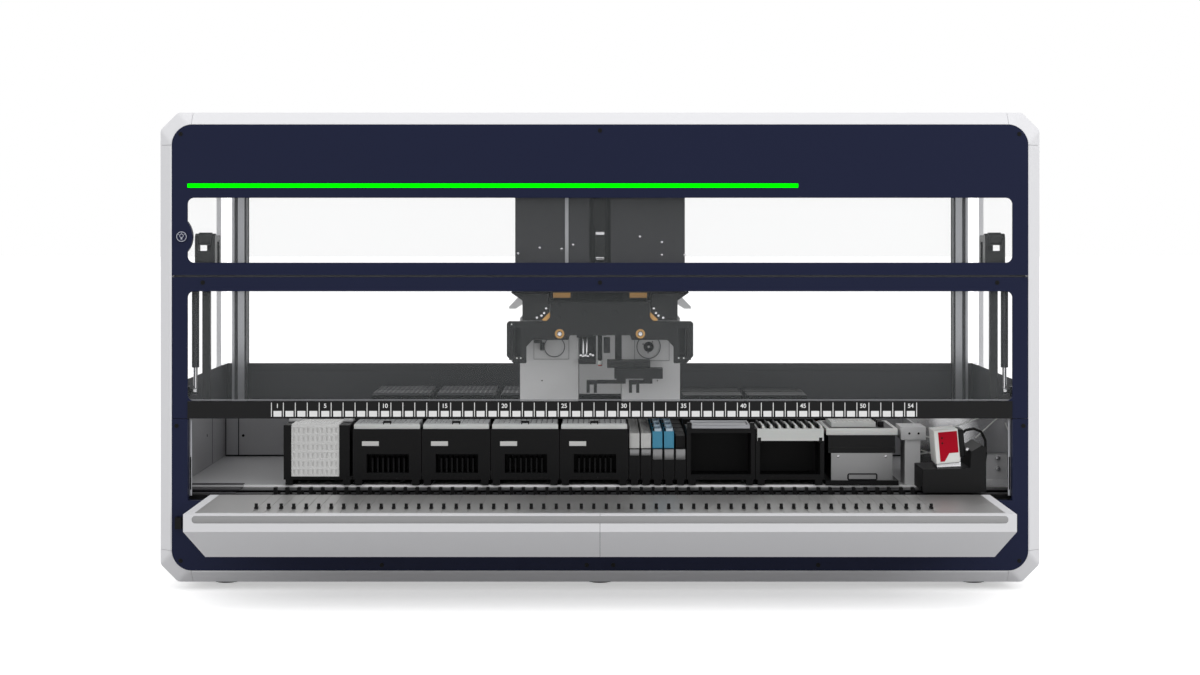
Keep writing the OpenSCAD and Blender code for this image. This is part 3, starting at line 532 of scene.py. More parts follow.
def well_plate(name, lo, hi, columns, rows, rim, depth):
    """A plate between two corners whose top is a grid of rounded wells."""
    clear_selection()
    lo, hi = Vector(lo) / 1000, Vector(hi) / 1000
    bpy.ops.mesh.primitive_grid_add(
        x_subdivisions=columns, y_subdivisions=rows, size=1,
        location=((lo.x + hi.x) / 2, (lo.y + hi.y) / 2, hi.z),
    )
    bpy.context.object.scale = (hi.x - lo.x, hi.y - lo.y, 1)
    piece = settle(name)
    choose(piece, all_faces)
    bpy.ops.mesh.inset(thickness=rim / 1000, depth=0, use_individual=True)
    bpy.ops.mesh.bevel(offset=rim / 1500, affect="VERTICES")
    bpy.ops.mesh.inset(thickness=0.0001, depth=-depth / 1000, use_individual=True)
    bpy.ops.mesh.select_all(action="DESELECT")
    bpy.ops.mesh.select_mode(type="EDGE")
    bpy.ops.mesh.select_non_manifold()
    bpy.ops.mesh.extrude_region_move(TRANSFORM_OT_translate={"value": (0, 0, lo.z - hi.z)})
    bpy.ops.mesh.edge_face_add()
    bpy.ops.mesh.select_all(action="SELECT")
    bpy.ops.mesh.normals_make_consistent(inside=False)
    bpy.ops.object.mode_set(mode="OBJECT")
    return piece


SIDES = ((-1, "left"), (1, "right"))


def mirrored(side, near, far):
    """Two distances from the middle, as the left and right ends on one side of it."""
    return sorted((side * near, side * far))


def track(k):
    """Where a track starts along the deck, in millimetres."""
    settings = sizes()
    return (k - (settings.tracks + 1) / 2) * settings.pitch * 1000


# ---- Pieces ----


class ROBOT_OT_finishes(bpy.types.Operator):
    """Give every CAD node its finish"""

    bl_idname = "robot.finishes"
    bl_label = "Node finishes"

    def execute(self, context):
        for make, names in FINISHES.items():
            for name in names:
                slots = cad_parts[name].data.materials
                slots.clear()
                slots.append(make())
        return {"FINISHED"}


CAMERA_PLACE = (0, -4.21, 0.713)  # level with the window, metres
CAMERA_SHIFT = -0.10375
SENSOR = 36  # millimetres
FLOOR_SIZE = 60  # metres


class ROBOT_OT_stage(bpy.types.Operator):
    """Pale floor, even studio light and the camera"""

    bl_idname = "robot.stage"
    bl_label = "Stage"

    def execute(self, context):
        settings = context.scene.stage_settings
        context.scene.view_settings.view_transform = "Standard"
        self.sky(context, settings.sky)
        self.floor()
        self.lamp(context, "overhead_lamp", (0, -1.6, 3.4), (0, -0.1, 0.4), 3.6, settings.key)
        self.lamp(context, "left_lamp", (-3.4, -2.4, 1.6), (0, 0, 0.5), 2.4, settings.fill)
        self.lamp(context, "right_lamp", (3.4, -2.4, 1.6), (0, 0, 0.5), 2.4, settings.fill * 2.0)
        self.camera(context, settings.lens)
        return {"FINISHED"}

    def seen(self, tree):
        """1 for rays that look at the backdrop: camera, glossy and transmission rays."""
        path = add_node(tree, "LightPath")
        both = add_node(
            tree, "Math",
            {0: path.outputs["Is Camera Ray"], 1: path.outputs["Is Glossy Ray"]},
            operation="MAXIMUM",
        )
        return add_node(
            tree, "Math", {0: both.outputs[0], 1: path.outputs["Is Transmission Ray"]},
            operation="MAXIMUM",
        ).outputs[0]

    def sky(self, context, level):
        """White surroundings, dimmer as a light than as a backdrop."""
        world = bpy.data.worlds.new("studio")
        context.scene.world = world
        world.use_nodes = True
        tree = world.node_tree
        back = tree.nodes["Background"]
        back.inputs["Color"].default_value = (1, 1, 1, 1)
        strength = {"Value": self.seen(tree), "To Min": level, "To Max": 1.0}
        tree.links.new(add_node(tree, "MapRange", strength).outputs[0], back.inputs["Strength"])

    def floor(self):
        clear_selection()
        bpy.ops.mesh.primitive_plane_add(size=FLOOR_SIZE, location=(0, 0, 0))
        plane = settle("floor")
        plane.data.materials.append(self.floor_finish())

    def floor_finish(self):
        # seamless paper: an even pale tone in which only the shadows show
        paper = surface("floor_paper", linear("#E8E8E8"), (0.8, 0.9), 33.3, vary=0.01, relief=0.0)
        tree = paper.node_tree
        shader = tree.nodes["Principled BSDF"]
        shader.inputs["Emission Color"].default_value = (1, 1, 1, 1)
        seen = self.seen(tree)
        own = {"Value": seen, "To Min": 0.0, "To Max": 0.47}
        level = add_node(tree, "MapRange", own).outputs[0]
        tree.links.new(level, shader.inputs["Emission Strength"])
        tone = {0: seen, 6: (0.42, 0.42, 0.42, 1), 7: (0.92, 0.92, 0.92, 1)}
        colour = add_node(tree, "Mix", tone, data_type="RGBA").outputs[2]
        tree.links.new(colour, shader.inputs["Base Color"])
        return paper

    def lamp(self, context, name, place, aim, size, power):
        """A wide lamp that looks at a point."""
        light = bpy.data.lights.new(name, "AREA")
        light.shape = "RECTANGLE"
        light.size, light.size_y = size, size * 0.6
        light.energy = power
        holder = bpy.data.objects.new(name, light)
        holder.location = place
        holder.rotation_euler = (Vector(aim) - Vector(place)).to_track_quat("-Z", "Y").to_euler()
        context.collection.objects.link(holder)

    def camera(self, context, lens):
        """A level camera straight in front."""
        data = bpy.data.cameras.new("front_view")
        data.lens, data.sensor_width, data.shift_y = lens, SENSOR, CAMERA_SHIFT
        data.clip_end = FLOOR_SIZE * 3
        holder = bpy.data.objects.new("front_view", data)
        holder.location = CAMERA_PLACE
        holder.rotation_euler = FACING_FRONT
        context.collection.objects.link(holder)
        context.scene.camera = holder


class ROBOT_OT_screws(bpy.types.Operator):
    """Socket screws of the fixed panels and of the front cover"""

    bl_idname = "robot.screws"
    bl_label = "Front screws"

    def head(self, name, radius, proud):
        """One screw head at the origin of the front plane, with a round socket."""
        y = corners("upper_front_panel")[0].y
        screw = turned(name, (0, y - proud / 2 + 0.1, 0), radius, proud + 0.2, sides=24)
        choose(screw, lambda spot, normal: normal.y < -0.95 and spot.length > 1)
        bpy.ops.mesh.inset(thickness=radius * 0.0004, depth=0)
        bpy.ops.mesh.inset(thickness=0.00005, depth=-proud * 0.0007)
        bpy.ops.object.mode_set(mode="OBJECT")
        return screw

    def execute(self, context):
        fixed = [(x, 0, z) for x in (-790, 790) for z in (57.8, 861.8)]
        fixed += [(x, 0, 49.9) for x in (-411, -25, 25, 411)]
        fixed += [(x, 0, 312) for x in (-797.6, 797.6)] + [(0, 0, 868.4)]
        panel = spread(self.head("panel_screws", 4.1, 0.8), fixed)
        finish(panel, "root", black_oxide(), "black_metal", "front_screws")
        moving = [(x, 0, 582) for x in (-748.4, 0, 748.4)]
        cover = spread(self.head("cover_screws", 4.2, 0.9), moving)
        finish(cover, "front_cover", black_oxide(), "black_metal")
        return {"FINISHED"}


DIGIT_FOOT = 0.3462  # level of the foot of the track numbers, in metres
DIGIT_DEPTH, DIGIT_WEIGHT = 0.00015, 0.00022  # half their thickness, and their extra stroke
NUMBERED = [1] + list(range(5, 51, 5)) + [54]  # tracks that carry a number


class ROBOT_OT_scale(bpy.types.Operator):
    """White ticks, squares and track numbers on the scale bar"""

    bl_idname = "robot.scale"
    bl_label = "Track scale"

    def execute(self, context):
        settings = sizes()
        face = corners("label_bar")[0].y
        half = settings.tick * 500
        low = 329.4  # lower end of ticks and squares
        ink = surface("scale_ink", linear("#EDEDED"), (0.5, 0.6), 1.11, vary=0.03, relief=0.05)
        tick = block("track_ticks", (-half, face - 0.4, low), (half, face + 0.1, low + 26.6), 0.15, 1)
        ticks = spread(tick, [(track(k), 0, 0) for k in range(settings.tracks + 1)])
        finish(ticks, "front_cover", ink, "white_paint")
        square = block("track_squares", (3.9, face - 0.4, low), (19, face + 0.1, low + 10.8), 0.3, 1)
        squares = spread(square, [(track(k), 0, 0) for k in range(settings.tracks)])
        finish(squares, "front_cover", ink, "white_paint")
        for number in NUMBERED:
            self.number(number, track(number - 0.5), face, settings.digit, ink)
        return {"FINISHED"}

    def number(self, number, x, face, height, ink):
        """One track number, centred on its track."""
        clear_selection()
        bpy.ops.object.text_add(location=(0, 0, 0))
        text = bpy.context.object
        text.data.body = str(number)
        text.data.align_x = "CENTER"
        text.data.size = height
        text.data.extrude, text.data.offset = DIGIT_DEPTH, DIGIT_WEIGHT
        bpy.ops.object.convert(target="MESH")
        text = bpy.context.object
        text.rotation_euler = FACING_FRONT
        text.location = (x / 1000, (face - 0.2) / 1000, DIGIT_FOOT)
        finish(settle(f"track_number_{number}"), "front_cover", ink, "white_paint")


class ROBOT_OT_tray(bpy.types.Operator):
    """Grey kick strip along the tray, and a strip of painted highlight along the front edge of the deck"""

    bl_idname = "robot.tray"
    bl_label = "Tray trim"

    def execute(self, context):
        lo, hi = corners("tray_shell")
        half, y, top = hi.x - 15.3, lo.y, hi.z
        strip = block("tray_strip", (-half, y + 0.6, top - 15.7), (half, y + 3.9, top - 3.3), 0)
        rim_front(strip, 0.8, 0.5)
        grey = surface("strip_paint", linear("#9C9C9D"), (0.4, 0.5), 1.11, vary=0.03, relief=0.06)
        finish(strip, "root", grey, "grey_cover")
        lo, hi = corners("deck_plate")
        highlight_rail = block("deck_highlight_strip", (-697, lo.y - 1.2, hi.z - 5), (798, lo.y, hi.z), 0)
        choose(highlight_rail, top_faces)
        bpy.ops.mesh.bevel(offset=0.0004, segments=2, affect="EDGES")
        bpy.ops.object.mode_set(mode="OBJECT")
        # near white: painted highlight on the deck's front edge, over its brushed lines
        bright = surface(
            "painted_edge_highlight", linear("#F2F2F2"), (0.3, 0.4), (33.3, 0.417, 0.417), 0.03, 0.05
        )
        finish(highlight_rail, "root", bright, "profile_aluminium")
        return {"FINISHED"}


RACK_PITCH = 97  # from one labware place of a carrier to the next, in millimetres
TIP_LEVELS, LEVEL_HEIGHT = 6, 16.4  # stacked tip racks and the height of each


class ROBOT_OT_plates(bpy.types.Operator):
    """Labels, clips and labware of the four plate carriers"""

    bl_idname = "robot.plates"
    bl_label = "Plate carriers"

    def execute(self, context):
        paper = surface("label_paper", linear("#E9E9E7"), (0.6, 0.7), 1.43, vary=0.05, relief=0.05)
        pale = surface("clear_lid", linear("#C9CBCC"), (0.12, 0.25), 3.33, vary=0.08, relief=0.05)
        lo, hi = corners("plate_carrier_1")
        x0, x1, y0 = lo.x, hi.x, lo.y
        label = block("label", (x0 + 18, y0 - 0.4, 258), (x0 + 51, y0 + 0.1, 267), 0.15, 1)
        apron = block("apron", (x0 + 2.5, y0 + 0.2, 291.2), (x1 - 2.5, y0 + 1.6, 300), 0.4)
        clip = self.clip((x0 + x1) / 2, y0)
        plate, tip_rack, rear_rack = (
            well_plate(
                "wells", (x0 + inset, y0 + near, low), (x1 - inset, y0 + far, high), 12, 8, rim, deep
            )
            for inset, near, far, low, high, rim, deep in (
                (4, 0.6, 85, 288, 302, 1.3, 9),
                (8, 107, 188, 305.2, 317, 1.6, 8),
                (8, 301, 382, 331.2, 336, 1.8, 4),
            )
        )
        step = (x1 - x0) + 1.2
        for k in range(4):
            body = f"plate_carrier_{k + 1}"
            move = (step * k, 0, 0)
            finish(twin(label, f"label_{k}", move), body, paper, "white_plastic")
            finish(twin(apron, f"plate_front_{k}", move), body, white_plastic())
            finish(twin(plate, f"plate_top_{k}", move), body, pale, "white_plastic")
            finish(twin(clip, f"plate_clip_{k}", move), body, black_plastic())
            for row in range(2):
                place = (step * k, RACK_PITCH * row, 0)
                for rack, name in ((tip_rack, "tips"), (rear_rack, "rear")):
                    copy = twin(rack, f"{name}_{k}_{row}", place)
                    finish(copy, body, rack_plastic(), "black_plastic")
        for start in (label, apron, plate, clip, tip_rack, rear_rack):
            bpy.data.objects.remove(start)
        return {"FINISHED"}

    def clip(self, x, y0):
        """A bridge of two posts and a bar that holds the plate."""
        bar = block("plate_clip", (x - 8, y0 + 6, 302.5), (x + 8, y0 + 10, 306), 0.5)
        left = block("plate_clip", (x - 8, y0 + 0.5, 296), (x - 5.5, y0 + 10, 303), 0.5)
        right = twin(left, "plate_clip", (13.5, 0, 0))
        return join([bar, left, right])


class ROBOT_OT_tips(bpy.types.Operator):
    """Lid, holding clips and rims of the stacked tip module"""

    bl_idname = "robot.tips"
    bl_label = "Tip module"

    def execute(self, context):
        lo, hi = corners("tip_racks")
        lid = well_plate(
            "tip_lid", (lo.x + 0.5, lo.y + 0.5, hi.z + 0.2), (hi.x - 0.5, hi.y - 0.5, hi.z + 4),
            12, 8, 1.5, 3,
        )
        finish(lid, "tip_carrier", tip_plastic(), "white_plastic")
        clips = [
            block("tip_clips", (near, lo.y + 62, 298.6), (far, lo.y + 96, 305), 1.2)
            for near, far in ((lo.x - 14, lo.x + 10), (hi.x + 1, hi.x + 19))
        ]
        finish(join(clips), "tip_carrier", grey_cover())
        z = lo.z + LEVEL_HEIGHT - 1.6
        near, far = (lo.x - 0.2, lo.y - 0.5, z - 0.9), (hi.x + 0.2, lo.y + 0.2, z + 0.9)
        rim = block("tip_rims", near, far, 0.3, 1)
        rims = spread(rim, [(0, 0, LEVEL_HEIGHT * level) for level in range(TIP_LEVELS)])
        finish(rims, "tip_carrier", tip_plastic(), "white_plastic")
        return {"FINISHED"}


BLOCKS, BLOCK_PITCH = 6, 80  # tube blocks or troughs along a one-track carrier
BLOCK_NEAR, BLOCK_FAR, BLOCK_FOOT = 7.5, 80.5, 242.4  # the first one, from the carrier's front


class ROBOT_OT_narrow(bpy.types.Operator):
    """Tubes, troughs and handle caps of the one-track carriers"""

    bl_idname = "robot.narrow"
    bl_label = "Narrow carriers"

    def execute(self, context):
        lid = surface("trough_lid", linear("#C7D9E6"), (0.15, 0.3), 4, vary=0.06, relief=0.1)
        tube = surface("frosted_tube", linear("#DCDCDA"), (0.3, 0.45), 8.33, vary=0.12, relief=0.3)
        steel = surface(
            "cap_steel", linear("#8D8D8E"), (0.25, 0.35), (0.556, 8.33, 0.556), 0.1, 0.1,
            metallic=0.6,
        )
        kinds = [
            "tube_carrier_1", "tube_carrier_2", "trough_carrier_1", "trough_carrier_2", "strip_carrier"
        ]
        for body in kinds:
            lo, hi = corners(body)
            x0, x1, y0, top = lo.x, hi.x, lo.y, hi.z
            if body.startswith("tube"):
                rack = self.tubes(body, x0, x1, y0, top)
                finish(rack, body, tube, "white_plastic")
            elif body.startswith("trough"):
                finish(self.walls(body, x0, x1, y0, top), body, blue_plastic())
                finish(self.inserts(body, x0, x1, y0, top), body, lid, "white_plastic")
            low = 239 if body.startswith("tube") else 231  # a tube carrier has a shorter cap
            cap = block(f"{body}_cap", (x0 + 1.6, y0 - 0.8, low), (x1 - 1.6, y0 + 7, 251.5), 0.8)
            finish(cap, body, steel, "profile_aluminium")
        return {"FINISHED"}

    def row(self, piece):
        """Repeats the first block along its carrier."""
        return spread(piece, [(0, BLOCK_PITCH * i, 0) for i in range(BLOCKS)])

    def tubes(self, body, x0, x1, y0, top):
        """Six blocks of frosted tubes, each with four rounded mouths."""
        near, far = (x0 + 1, y0 + BLOCK_NEAR, BLOCK_FOOT), (x1 - 1, y0 + BLOCK_FAR, top + 1)
        rack = well_plate(f"{body}_tubes", near, far, 1, 4, 2.4, 14)
        return self.row(rack)

    def walls(self, body, x0, x1, y0, top):
        """Six blue troughs."""
        near, far = (x0 + 1, y0 + BLOCK_NEAR, BLOCK_FOOT), (x1 - 1, y0 + BLOCK_FAR, top + 0.6)
        wall = block(f"{body}_walls", near, far, 0)
        sink(wall, top_faces, 1.2, 3)
        soften(wall, 0.3, 1)
        return self.row(wall)

    def inserts(self, body, x0, x1, y0, top):
        """A pale liner that stands proud of each trough."""
        near = (x0 + 5, y0 + BLOCK_NEAR + 2, top - 2)
        far = (x1 - 3.2, y0 + BLOCK_FAR - 2, top + 6)
        liner = block(f"{body}_liners", near, far, 0)
        sink(liner, top_faces, 1.4, 5)
        soften(liner, 0.4, 1)
        return self.row(liner)


class ROBOT_OT_stations(bpy.types.Operator):
    """Covers and small parts of the open frame, the reservoir, the heater and the post"""

    bl_idname = "robot.stations"
    bl_label = "Stations"

    def execute(self, context):
        self.open_frame()
        self.reservoir()
        self.heater()
        self.post()
        return {"FINISHED"}

    def open_frame(self):
        """Shelf and corner clips of the open carrier."""
        lo, hi = corners("open_carrier")
        x0, x1, y0 = lo.x, hi.x, lo.y
        tray = block("frame_shelf", (x0 + 10, y0 + 2, 291.2), (x1 - 10, y0 + 92, 299), 0)
        sink(tray, top_faces, 4, 4)
        soften(tray, 0.6)
        finish(tray, "open_carrier", profile_aluminium())
        clips = [
            block("frame_clips", (x, y0 + 0.6, 291.2), (x + 9, y0 + 14, 303), 1.2)
            for x in (x0 + 1, x1 - 10)
        ]
        clips += [
            block("frame_clips", (x, y0 + 0.6, 278), (x + 5, y0 + 4, 292), 0.8)
            for x in (x0 + 3, x1 - 8)
        ]
        finish(join(clips), "open_carrier", black_metal())

    def reservoir(self):
        """Block of eight cells with a black fin and a white nose in each."""
        lo, hi = corners("reservoir_carrier")
        x0, x1, y0 = lo.x, hi.x, lo.y
        body = well_plate(
            "reservoir_block", (x0 + 3, y0 - 0.5, 268), (x1 - 1, y0 + 95, 291.6), 8, 1, 3.4, 16
        )
        finish(body, "reservoir_carrier", white_plastic())
        pitch = (x1 - x0 - 4) / 8
        fin = block("reservoir_fins", (x0 + 6, y0 + 16, 290), (x0 + 10.5, y0 + 94, 300), 1.2)
        fins = spread(fin, [(pitch * i, 0, 0) for i in range(8)])
        finish(fins, "reservoir_carrier", black_plastic())
        nose = block("reservoir_noses", (x0 + 12.5, y0 + 4, 290), (x0 + 17.5, y0 + 94, 297), 1.6)
        noses = spread(nose, [(pitch * i, 0, 0) for i in range(8)])
        finish(noses, "reservoir_carrier", white_plastic())
        clips = [
            block("reservoir_clips", (x, y0 - 0.6, 264), (x + 8, y0 + 6, 275), 1.0)
            for x in (x0 + 3, x1 - 11)
        ]
        finish(join(clips), "reservoir_carrier", black_metal())

    def heater(self):
        """Face, lid, tube strips and latches of the heater."""
        lo, hi = corners("heater_module")
        x0, x1, y0 = lo.x, hi.x, lo.y
        face = block("heater_face", (x0 + 11.6, y0 + 5.4, 190.2), (x1 - 11.6, y0 + 9, 243.2), 0)
        rim_front(face, 0.8, 0.4)
        plain = surface("heater_sheet", linear("#A2A2A3"), (0.4, 0.5), 1.11, vary=0.04, relief=0.08)
        finish(face, "root", plain, "grey_cover")
        mouth = block("heater_mouth", (x0 + 44, y0 + 4.6, 191), (x1 - 42, y0 + 6, 203), 0.5)
        sink(mouth, front_faces, 1.2, 0.8)
        finish(mouth, "root", black_plastic())
        screws = [
            turned("heater_screws", (x, y0 + 4.8, 237), 2.4, 1.4, sides=20)
            for x in (x0 + 25, x1 - 25)
        ]
        finish(join(screws), "root", ground_steel())
        lid = block("heater_lid", (x0 + 1.6, y0 + 3.6, 278.6), (x1 - 1.6, y0 + 164.4, 291.5), 0)
        sink(lid, top_faces, 7, 5)
        soften(lid, 0.8)
        finish(lid, "root", white_plastic())
        band = block("heater_band", (x0 + 5.5, y0 + 7.5, 252), (x1 - 5.5, y0 + 11, 255), 0.5)
        finish(band, "root", foot_rubber(), "black_plastic")
        strips = well_plate(
            "heater_tubes", (x0 + 16, y0 + 40, 286), (x1 - 40, y0 + 150, 300), 12, 8, 1.4, 8
        )
        finish(strips, "root", white_plastic())
        latch = [
            block(
                "heater_latches", (x1 - 34, y0 + 52 + 26 * i, 286), (x1 - 22, y0 + 66 + 26 * i, 301), 2.0
            )
            for i in range(3)
        ]
        finish(join(latch), "root", black_metal())

    def post(self):
        """Hollow head of the waste post, with its bolts."""
        lo, hi = corners("waste_station")
        x, y, top = lo.x, lo.y, hi.z
        head = block("post_head", (x - 0.5, y - 0.5, top - 24.5), (x + 48.5, y + 74.5, top + 0.6), 0)
        sink(head, top_faces, 3.5, 10)
        soften(head, 0.6)
        finish(head, "root", grey_cover())
        bolts = [
            turned("post_bolts", (x + 16 + 18 * i, y - 0.9, top - 12), 2.2, 1.6, sides=16)
            for i in range(2)
        ]
        finish(join(bolts), "root", black_metal())


class ROBOT_OT_arm(bpy.types.Operator):
    """Screws, bearings, brass and pulleys of the gantry arm"""

    bl_idname = "robot.arm"
    bl_label = "Arm fittings"

    def execute(self, context):
        self.front = corners("arm_frame")[0].y
        self.cover = corners("arm_housings")[0].y
        self.plate()
        self.bays()
        self.pulleys()
        self.recess()
        self.wings()
        return {"FINISHED"}

    def dots(self, name, places, radius, material, depth=1.6, slot=None):
        """Round heads on the faces at the given places."""
        head = turned(name, (0, -depth / 2 + 0.3, 0), radius, depth, sides=16)
        finish(spread(head, places), "gantry_arm", material, slot)

    def plate(self):
        """Bolts, bearings and milled lines of the front plate."""
        y = self.front
        black = [(x, y, z) for x in (-80, 79.5) for z in (535, 511)]
        self.dots("plate_bolts", black, 4.1, foot_rubber(), 1.0, slot="black_plastic")
        white = [(-170.7, y, 498), (-170.7, y, 428), (-160.3, y, 433), (-153, y, 433)]
        white += [(152, y, 433), (161.5, y, 433)]
        self.dots("plate_pins", white, 1.5, white_plastic())
        brass = corners("arm_brass")[0].y
        self.dots(
            "bearing_rims", [(x, brass, 480) for x in (-78, 78)], 5.2, foot_rubber(), 0.8,
            slot="black_plastic",
        )
        self.dots("bearing_pins", [(x, brass - 0.4, 480) for x in (-78, 78)], 3.9, ground_steel(), 0.9)
        line = surface("milled_line", linear("#0B0B0C"), (0.5, 0.6), 1.11, vary=0.05, relief=0.1)
        pocket = self.outline("plate_pockets", (-142, y, 474), (-113, y, 497), 0.9)
        finish(spread(pocket, [(0, 0, 0), (255, 0, 0)]), "gantry_arm", line, "black_metal")
        slot = self.outline("plate_slot_lines", (-166, y, 431), (-149, y, 493), 1.2)
        finish(spread(slot, [(0, 0, 0), (315, 0, 0)]), "gantry_arm", line, "black_metal")
        self.dots("rod_caps", [(x, y + 1, 520) for x in (-30, 30)], 6.3, black_metal(), 1.4)
        cheeks = [
            block("brass_cheeks", (near, y + 58, 541.5), (far, y + 61, 584), 0.5)
            for near, far in ((45, 58), (92, 101), (-58, -45), (-101, -92))
        ]
        finish(join(cheeks), "gantry_arm", black_metal())
        # white sheet at the back of the recess; it glows as painted light
        recess = block("recess_sheet", (-42.8, 140, 338.5), (42.8, 143.5, 500), 0.4, 1)
        finish(recess, "gantry_arm", lit_sheet(), "white_plastic")
        tab = block("plate_tab", (-179.5, y - 1, 447), (-175.5, y + 5, 476), 0.8)
        finish(tab, "gantry_arm", black_metal())

    def outline(self, name, lo, hi, width):
        """A thin raised frame, open in the middle, on a face that looks to the front."""
        near, far = lo[1] - 0.3, lo[1] + 0.2
        bars = [
            block(name, (lo[0], near, lo[2]), (hi[0], far, lo[2] + width), 0.15, 1),
            block(name, (lo[0], near, hi[2] - width), (hi[0], far, hi[2]), 0.15, 1),
            block(name, (lo[0], near, lo[2]), (lo[0] + width, far, hi[2]), 0.15, 1),
            block(name, (hi[0] - width, near, lo[2]), (hi[0], far, hi[2]), 0.15, 1),
        ]
        return join(bars)

    def bays(self):
        """Brass discs with their bolts in the open bays beside the plate."""
        y = self.front + 6
        for side, name in SIDES:
            near, far = mirrored(side, 98, 131)
            bay = block(f"bay_{name}", (near, y - 1.5, 507), (far, y + 0.5, 540), 0)
            sink(bay, front_faces, 1.4, 1)
            finish(bay, "gantry_arm", foot_rubber(), "black_plastic")
            disc = turned(f"bay_disc_{name}", (side * 105, y - 2.5, 514), 10.5, 2, sides=40)
            cut(disc, (side * 105, 0, 514), (side * 0.7, 0, 0.7))
            finish(disc, "gantry_arm", machined_brass())
            bolts = [(side * 108, y - 2, 520), (side * 113, y - 2, 515), (side * 122, y - 2, 511)]
            bolts += [(side * 104, y - 2, 529)]
            self.dots(f"bay_bolts_{name}", bolts, 2.4, ground_steel(), 2.4)

    def pulleys(self):
        """Pulley rings, hub and panel outlines on the covers."""
        y = self.cover
        line = surface("pulley_line", linear("#5E5F61"), (0.4, 0.5), 1.11, vary=0.05, relief=0.1)
        x, z = 96, 449  # centre of the right pulley
        for name, centre, radius in (("right", x, 23.2), ("left", -90, 20)):
            wire = ring(f"pulley_ring_{name}", (centre, y - 0.2, z), radius, 0.9, 64, 8)
            finish(wire, "gantry_arm", line, "black_metal")
        hub = turned("pulley_hub", (x, y - 3.5, z), 5.4, 2, sides=32)
        choose(hub, front_faces)
        bpy.ops.mesh.inset(thickness=0.0026, depth=0)
        bpy.ops.mesh.inset(thickness=0.0001, depth=-0.001)
        bpy.ops.object.mode_set(mode="OBJECT")
        finish(hub, "gantry_arm", black_oxide(), "black_metal")
        self.dots("pulley_pin", [(x, y - 4.4, z)], 2.4, grey_cover(), 0.8)
        spots = [(x + 12 * math.cos(a), y - 0.2, z + 12 * math.sin(a)) for a in (0.9, 2.7, 4.6)]
        self.dots("pulley_spots", spots, 1.3, black_metal(), 1.0)
        left = self.outline("cover_panel_left", (-131, y, 424), (-61, y, 466), 0.9)
        right = self.outline("cover_panel_right", (68, y, 421), (137, y, 466), 0.9)
        finish(join([left, right]), "gantry_arm", line, "black_metal")
        elbow = block("elbow", (-131, y - 8, 456.5), (-114, y - 0.5, 462), 1.6)
        drop = block("elbow_drop", (-118, y - 8, 442), (-109.5, y - 0.5, 458), 1.6)
        finish(join([elbow, drop]), "gantry_arm", black_metal())
        self.dots("cover_spots", [(-114.5, y, 382), (113.5, y, 382)], 1.4, black_metal(), 0.8)

    def recess(self):
        """Drive parts in the recess behind the front plate, and the tip of the probe."""
        y = self.cover
        plate = block("recess_plate", (-41, y + 6, 428), (-8, y + 12, 470), 1.0)
        finish(plate, "gantry_arm", black_metal())
        rods = [turned("recess_rods", (x, y + 3, 448), 2.3, 40, "Z", 24) for x in (-33, -26)]
        finish(join(rods), "gantry_arm", ground_steel())
        clamps = [(x, y + 2, 430 + 2 * (x % 3)) for x in (-38, -33, -29, -24, -19, -14)]
        self.dots("recess_clamps", clamps, 2.6, ground_steel(), 4)
        for name, low, high, edge, make in (
            ("recess_motor", (7, y + 6, 436), (20, y + 20, 467), 1.4, dark_sheet),
            ("recess_beam", (-42, y - 8, 415), (-8, y + 12, 428), 1.2, black_metal),
            ("recess_top_bar", (-46, y - 2, 467), (-13, y + 4, 473), 0.8, black_metal),
        ):
            finish(block(name, low, high, edge), "gantry_arm", make())
        lo, hi = corners("probe_1")
        x, y, z = (lo.x + hi.x) / 2, (lo.y + hi.y) / 2, lo.z
        collar = turned("probe_collar", (x, y, z + 6.5), 5, 8, "Z", 24)
        finish(collar, "pipetting_probe_1", white_plastic())
        band = turned("probe_ring", (x, y, z + 1.6), 4.4, 2, "Z", 24)
        red = surface("ring_red", linear("#C03A2C"), (0.3, 0.4), 2.5, vary=0.05, relief=0.05)
        finish(band, "pipetting_probe_1", red, "blue_plastic")

    def wings(self):
        """Bent light covers above the ends of the front plate."""
        y = self.front + 6.5
        for side, name in SIDES:
            near, far = mirrored(side, 141, 176)
            wing = block(f"wing_{name}", (near, y, 528), (far, y + 44, 556), 0)
            cut(wing, (side * 168, 0, 540), (side * 0.72, 0, 0.69))
            cut(wing, (side * 152, 0, 535), (side * -0.55, 0, -0.83))
            finish(wing, "gantry_arm", grey_cover())


